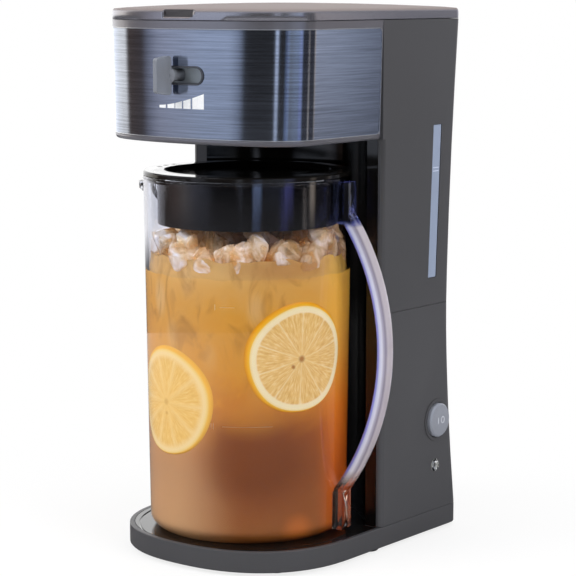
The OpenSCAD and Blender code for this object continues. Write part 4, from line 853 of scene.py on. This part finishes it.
class TEAMAKER_OT_drink(bpy.types.Operator):
    """Fills the jug with cloudy tea, ice and two lemon slices against its wall"""
    bl_idname = "teamaker.drink"
    bl_label = "Drink"

    def execute(self, context):
        sizes = context.scene.tea_maker_sizes
        self.tea(sizes.tea_level)
        self.ice(sizes)
        self.lemon("front_lemon", -21.0, 0.1275, sizes.slice_radius, 20, (0.0019, -0.0010), "lemon")
        self.lemon("left_lemon", -103.0, 0.0954, sizes.slice_radius, -35, (-0.0019, -0.0012), "veiled_lemon")
        return {"FINISHED"}

    def tea(self, level, low=0.0032, corner=0.0065):
        """A body of revolution that wets the wall: floor, round lower edge, tapered side, small meniscus, wavy top."""
        # drawn in from the wall near its top, where ice stands in front of it
        free = lambda z: np.clip((z - level + 0.015) / 0.011, 0, 1) ** 2
        inside = lambda z: wall_radius(z) - JUG_WALL + 0.0001 - 0.0016 * free(z)
        turn = np.linspace(-math.pi / 2, 0, 9)
        edge = np.stack([
            inside(low + corner) - corner + corner * np.cos(turn), low + corner + corner * np.sin(turn)], 1)
        height = np.linspace(low + corner, level, 60)[1:]
        side = np.stack([inside(height), height], 1)
        top_r = np.array([0.9965, 0.985, 0.96, 0.9, 0.8, 0.65, 0.5, 0.35, 0.2, 0.1, 0.0])
        dip = np.array([0.0006, 0.0014, 0.0019] + [0.002] * 8)
        roof = np.stack([inside(level) * top_r, level - dip], 1)
        coords, faces = revolved(np.concatenate([[[0.0, low], [0.03, low]], edge, side, roof]), 180)
        # blocks pressed to the wall break the line of the tea: it rises and falls by sines of the bearing
        x, y, z = coords.T
        bearing = np.arctan2(y, x)
        wave = 0.0008 * np.sin(9 * bearing + 1) + 0.0007 * np.sin(14 * bearing + 2.2) + 0.0005 * np.sin(23 * bearing)
        coords[:, 2] += wave * np.clip((z - level + 0.02) / 0.018, 0, 1) * np.clip(np.hypot(x, y) / 0.06, 0, 1)
        put("tea", coords, faces, "tea", 60, "pitcher")

    def ice(self, sizes, rows=15, columns=22, planes=11):
        """Broken blocks: each point of a ball goes out along its own direction to the nearest of eleven planes, set
        at random round the middle; the blocks are turned at random and packed in rings inside the wall."""
        dice = np.random.default_rng(7)
        skirt_low, skirt_r, inside_skirt = 0.2112, 0.058, 0.02
        room, outer_ring, middle_ring, inner_ring = 0.0004, 0.0585, 0.0405, 0.022
        u, v = np.meshgrid(circle(columns), np.linspace(-math.pi / 2, math.pi / 2, rows), indexing="ij")
        ball = np.stack([np.cos(v) * np.cos(u), np.cos(v) * np.sin(u), np.sin(v)], 2).reshape(-1, 3)
        block = grid_faces(columns, rows, round_u=True)
        points = []
        for k in range(sizes.ice_count):
            plane = dice.normal(size=(planes, 3))
            plane /= np.linalg.norm(plane, axis=1)[:, None]
            away = dice.uniform(0.6, 1.0, planes) / np.maximum(ball @ plane.T, 0.1)
            size = dice.uniform(0.0065, 0.0125, 3)
            axes = np.linalg.qr(dice.normal(size=(3, 3)))[0]
            angle = 2 * math.pi * (k * 0.381966 + dice.uniform(-0.01, 0.01))
            ring = (outer_ring, outer_ring, middle_ring, outer_ring, inner_ring)[k % 5]
            radius = ring + dice.uniform(-0.004, 0.001)
            height = sizes.tea_level + dice.uniform(-0.005, 0.0105)
            place = np.array([radius * math.cos(angle), radius * math.sin(angle), height])
            shape = (ball * np.minimum(away.min(1), 1.3)[:, None] * size) @ axes.T + place
            reach = np.hypot(shape[:, 0], shape[:, 1])
            limit = wall_radius(shape[:, 2]) - JUG_WALL - room
            shape[:, :2] *= np.minimum(1, limit / np.maximum(reach, 1e-9))[:, None]
            within = np.hypot(shape[:, 0], shape[:, 1]) < skirt_r
            shape[:, 2] = np.minimum(shape[:, 2], skirt_low + inside_skirt * within)
            points.append(shape)
        faces = [block + k * len(ball) for k in range(sizes.ice_count)]
        put("ice_pieces", np.concatenate(points), faces, "ice", 35, "pitcher")

    def lemon(self, name, angle, height, radius, roll, shift, look):
        """A disc laid on the inside of the wall, in rings: the flesh and the pith are circles round their own middle,
        shifted in the outline, and the rind fills what is left; s goes round the wall and t up it, on two skins."""
        rings, steps, pith = 27, 120, 0.9
        girth, proud, thick = 0.0685, 0.0006, 0.005
        share = np.concatenate([np.linspace(0, pith, rings - 6), np.linspace(pith, 1, 7)[1:]])
        turn = circle(steps)
        uneven = 1 + 0.018 * np.sin(2 * turn + 1) + 0.008 * np.sin(5 * turn)
        inside = 0.94 * radius * uneven * np.minimum(share / pith, 1)[:, None]
        part = np.clip((share - pith) / (1 - pith), 0, 1)[:, None]
        s, t = ((middle + inside * way) * (1 - part) + radius * uneven * way * part
                for middle, way in zip(shift, (np.cos(turn), np.sin(turn))))
        z = height + t
        # flesh a little lower than the membranes and the rind
        dome = 0.0003 * np.sin(np.clip((share - 0.08) / 0.68, 0, 1) * math.pi)[:, None] * np.abs(np.sin(5 * turn))
        outer = wall_radius(z) - JUG_WALL + proud - dome - 0.0005 * part ** 3
        inner = wall_radius(z) - JUG_WALL - thick
        theta = math.radians(angle) + s / girth
        skins = np.stack([np.stack([q * np.cos(theta), q * np.sin(theta), z], 2) for q in (outer, inner)])
        count = rings * steps
        front = grid_faces(rings, steps, round_v=True)
        here = count - steps + np.arange(steps)
        after = np.roll(here, -1)
        rim = np.stack([here, after, after + count, here + count], 1)
        mesh = mesh_of(name, skins, [front, front[:, ::-1] + count, rim])
        # UV: how far out, and how far round
        uv = mesh.uv_layers.new(name="slice")
        flat = read(mesh.loops, "vertex_index", np.int32) % count
        around = ((flat % steps) / steps).reshape(-1, 4)
        wraps = (around.max(1) - around.min(1) > 0.5)[:, None]
        around = np.where(wraps & (around < 0.5), around + 1, around).ravel()
        flat_uv = np.stack([share[flat // steps], around + roll / 360], 1)
        uv.data.foreach_set("uv", flat_uv.ravel().astype(np.float32))
        settle(wrapped(name, mesh, finish(look), 50), "pitcher")


class TEAMAKER_OT_inner_parts(bpy.types.Operator):
    """Gives the carried inner parts their finishes"""
    bl_idname = "teamaker.inner_parts"
    bl_label = "Inner parts"

    def execute(self, context):
        for look, nodes in {
            "inner": ("bottom_plate", "brew_deck", "brew_basket", "spray_spout", "switch_body", "cord_gland"),
            "foot": ("rubber_feet",),
            "steel": ("base_screws", "heater_clip_screws", "hinge_pins", "button_spring"),
            "mesh": ("brew_filter",),
            "tank": ("water_tank",),
            "heater": ("heater_tube",),
            "clip": ("heater_clips",),
            "ceramic": ("thermostat", "thermal_fuse", "lamp_holder"),
            "hose": ("inlet_hose", "riser_hose", "check_valve"),
            "shutter": ("strength_shutter",),
        }.items():
            for node in nodes:
                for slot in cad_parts[node].material_slots:
                    slot.material = finish(look)
        return {"FINISHED"}


class TEAMAKER_PT_panel(bpy.types.Panel):
    """Lists the steps that build the looks"""
    bl_idname = "TEAMAKER_PT_panel"
    bl_label = "Iced tea maker"
    bl_space_type = "VIEW_3D"
    bl_region_type = "UI"
    bl_category = "Iced tea maker"

    def draw(self, context):
        for group in (context.scene.tea_maker_finish, context.scene.tea_maker_sizes, context.scene.tea_maker_stage):
            for key in group.__annotations__:
                self.layout.prop(group, key)
        for step in STEPS:
            self.layout.operator(step.bl_idname)


GROUPS = {"tea_maker_finish": TeaMakerFinish, "tea_maker_sizes": TeaMakerSizes, "tea_maker_stage": TeaMakerStage}
STEPS = (TEAMAKER_OT_stage, TEAMAKER_OT_housings, TEAMAKER_OT_front_panel, TEAMAKER_OT_controls, TEAMAKER_OT_jug,
         TEAMAKER_OT_drink, TEAMAKER_OT_inner_parts)


def register():
    for kind in (*GROUPS.values(), *STEPS, TEAMAKER_PT_panel):
        bpy.utils.register_class(kind)
    for name, group in GROUPS.items():
        setattr(bpy.types.Scene, name, PointerProperty(type=group))


def unregister():
    for name in GROUPS:
        delattr(bpy.types.Scene, name)
    for kind in reversed((*GROUPS.values(), *STEPS, TEAMAKER_PT_panel)):
        bpy.utils.unregister_class(kind)


def main():
    register()
    for step in STEPS:
        family, action = step.bl_idname.split(".")
        if getattr(getattr(bpy.ops, family), action)() != {"FINISHED"}:
            raise RuntimeError(f"{step.bl_label} did not finish")


if __name__ == "__main__":
    main()
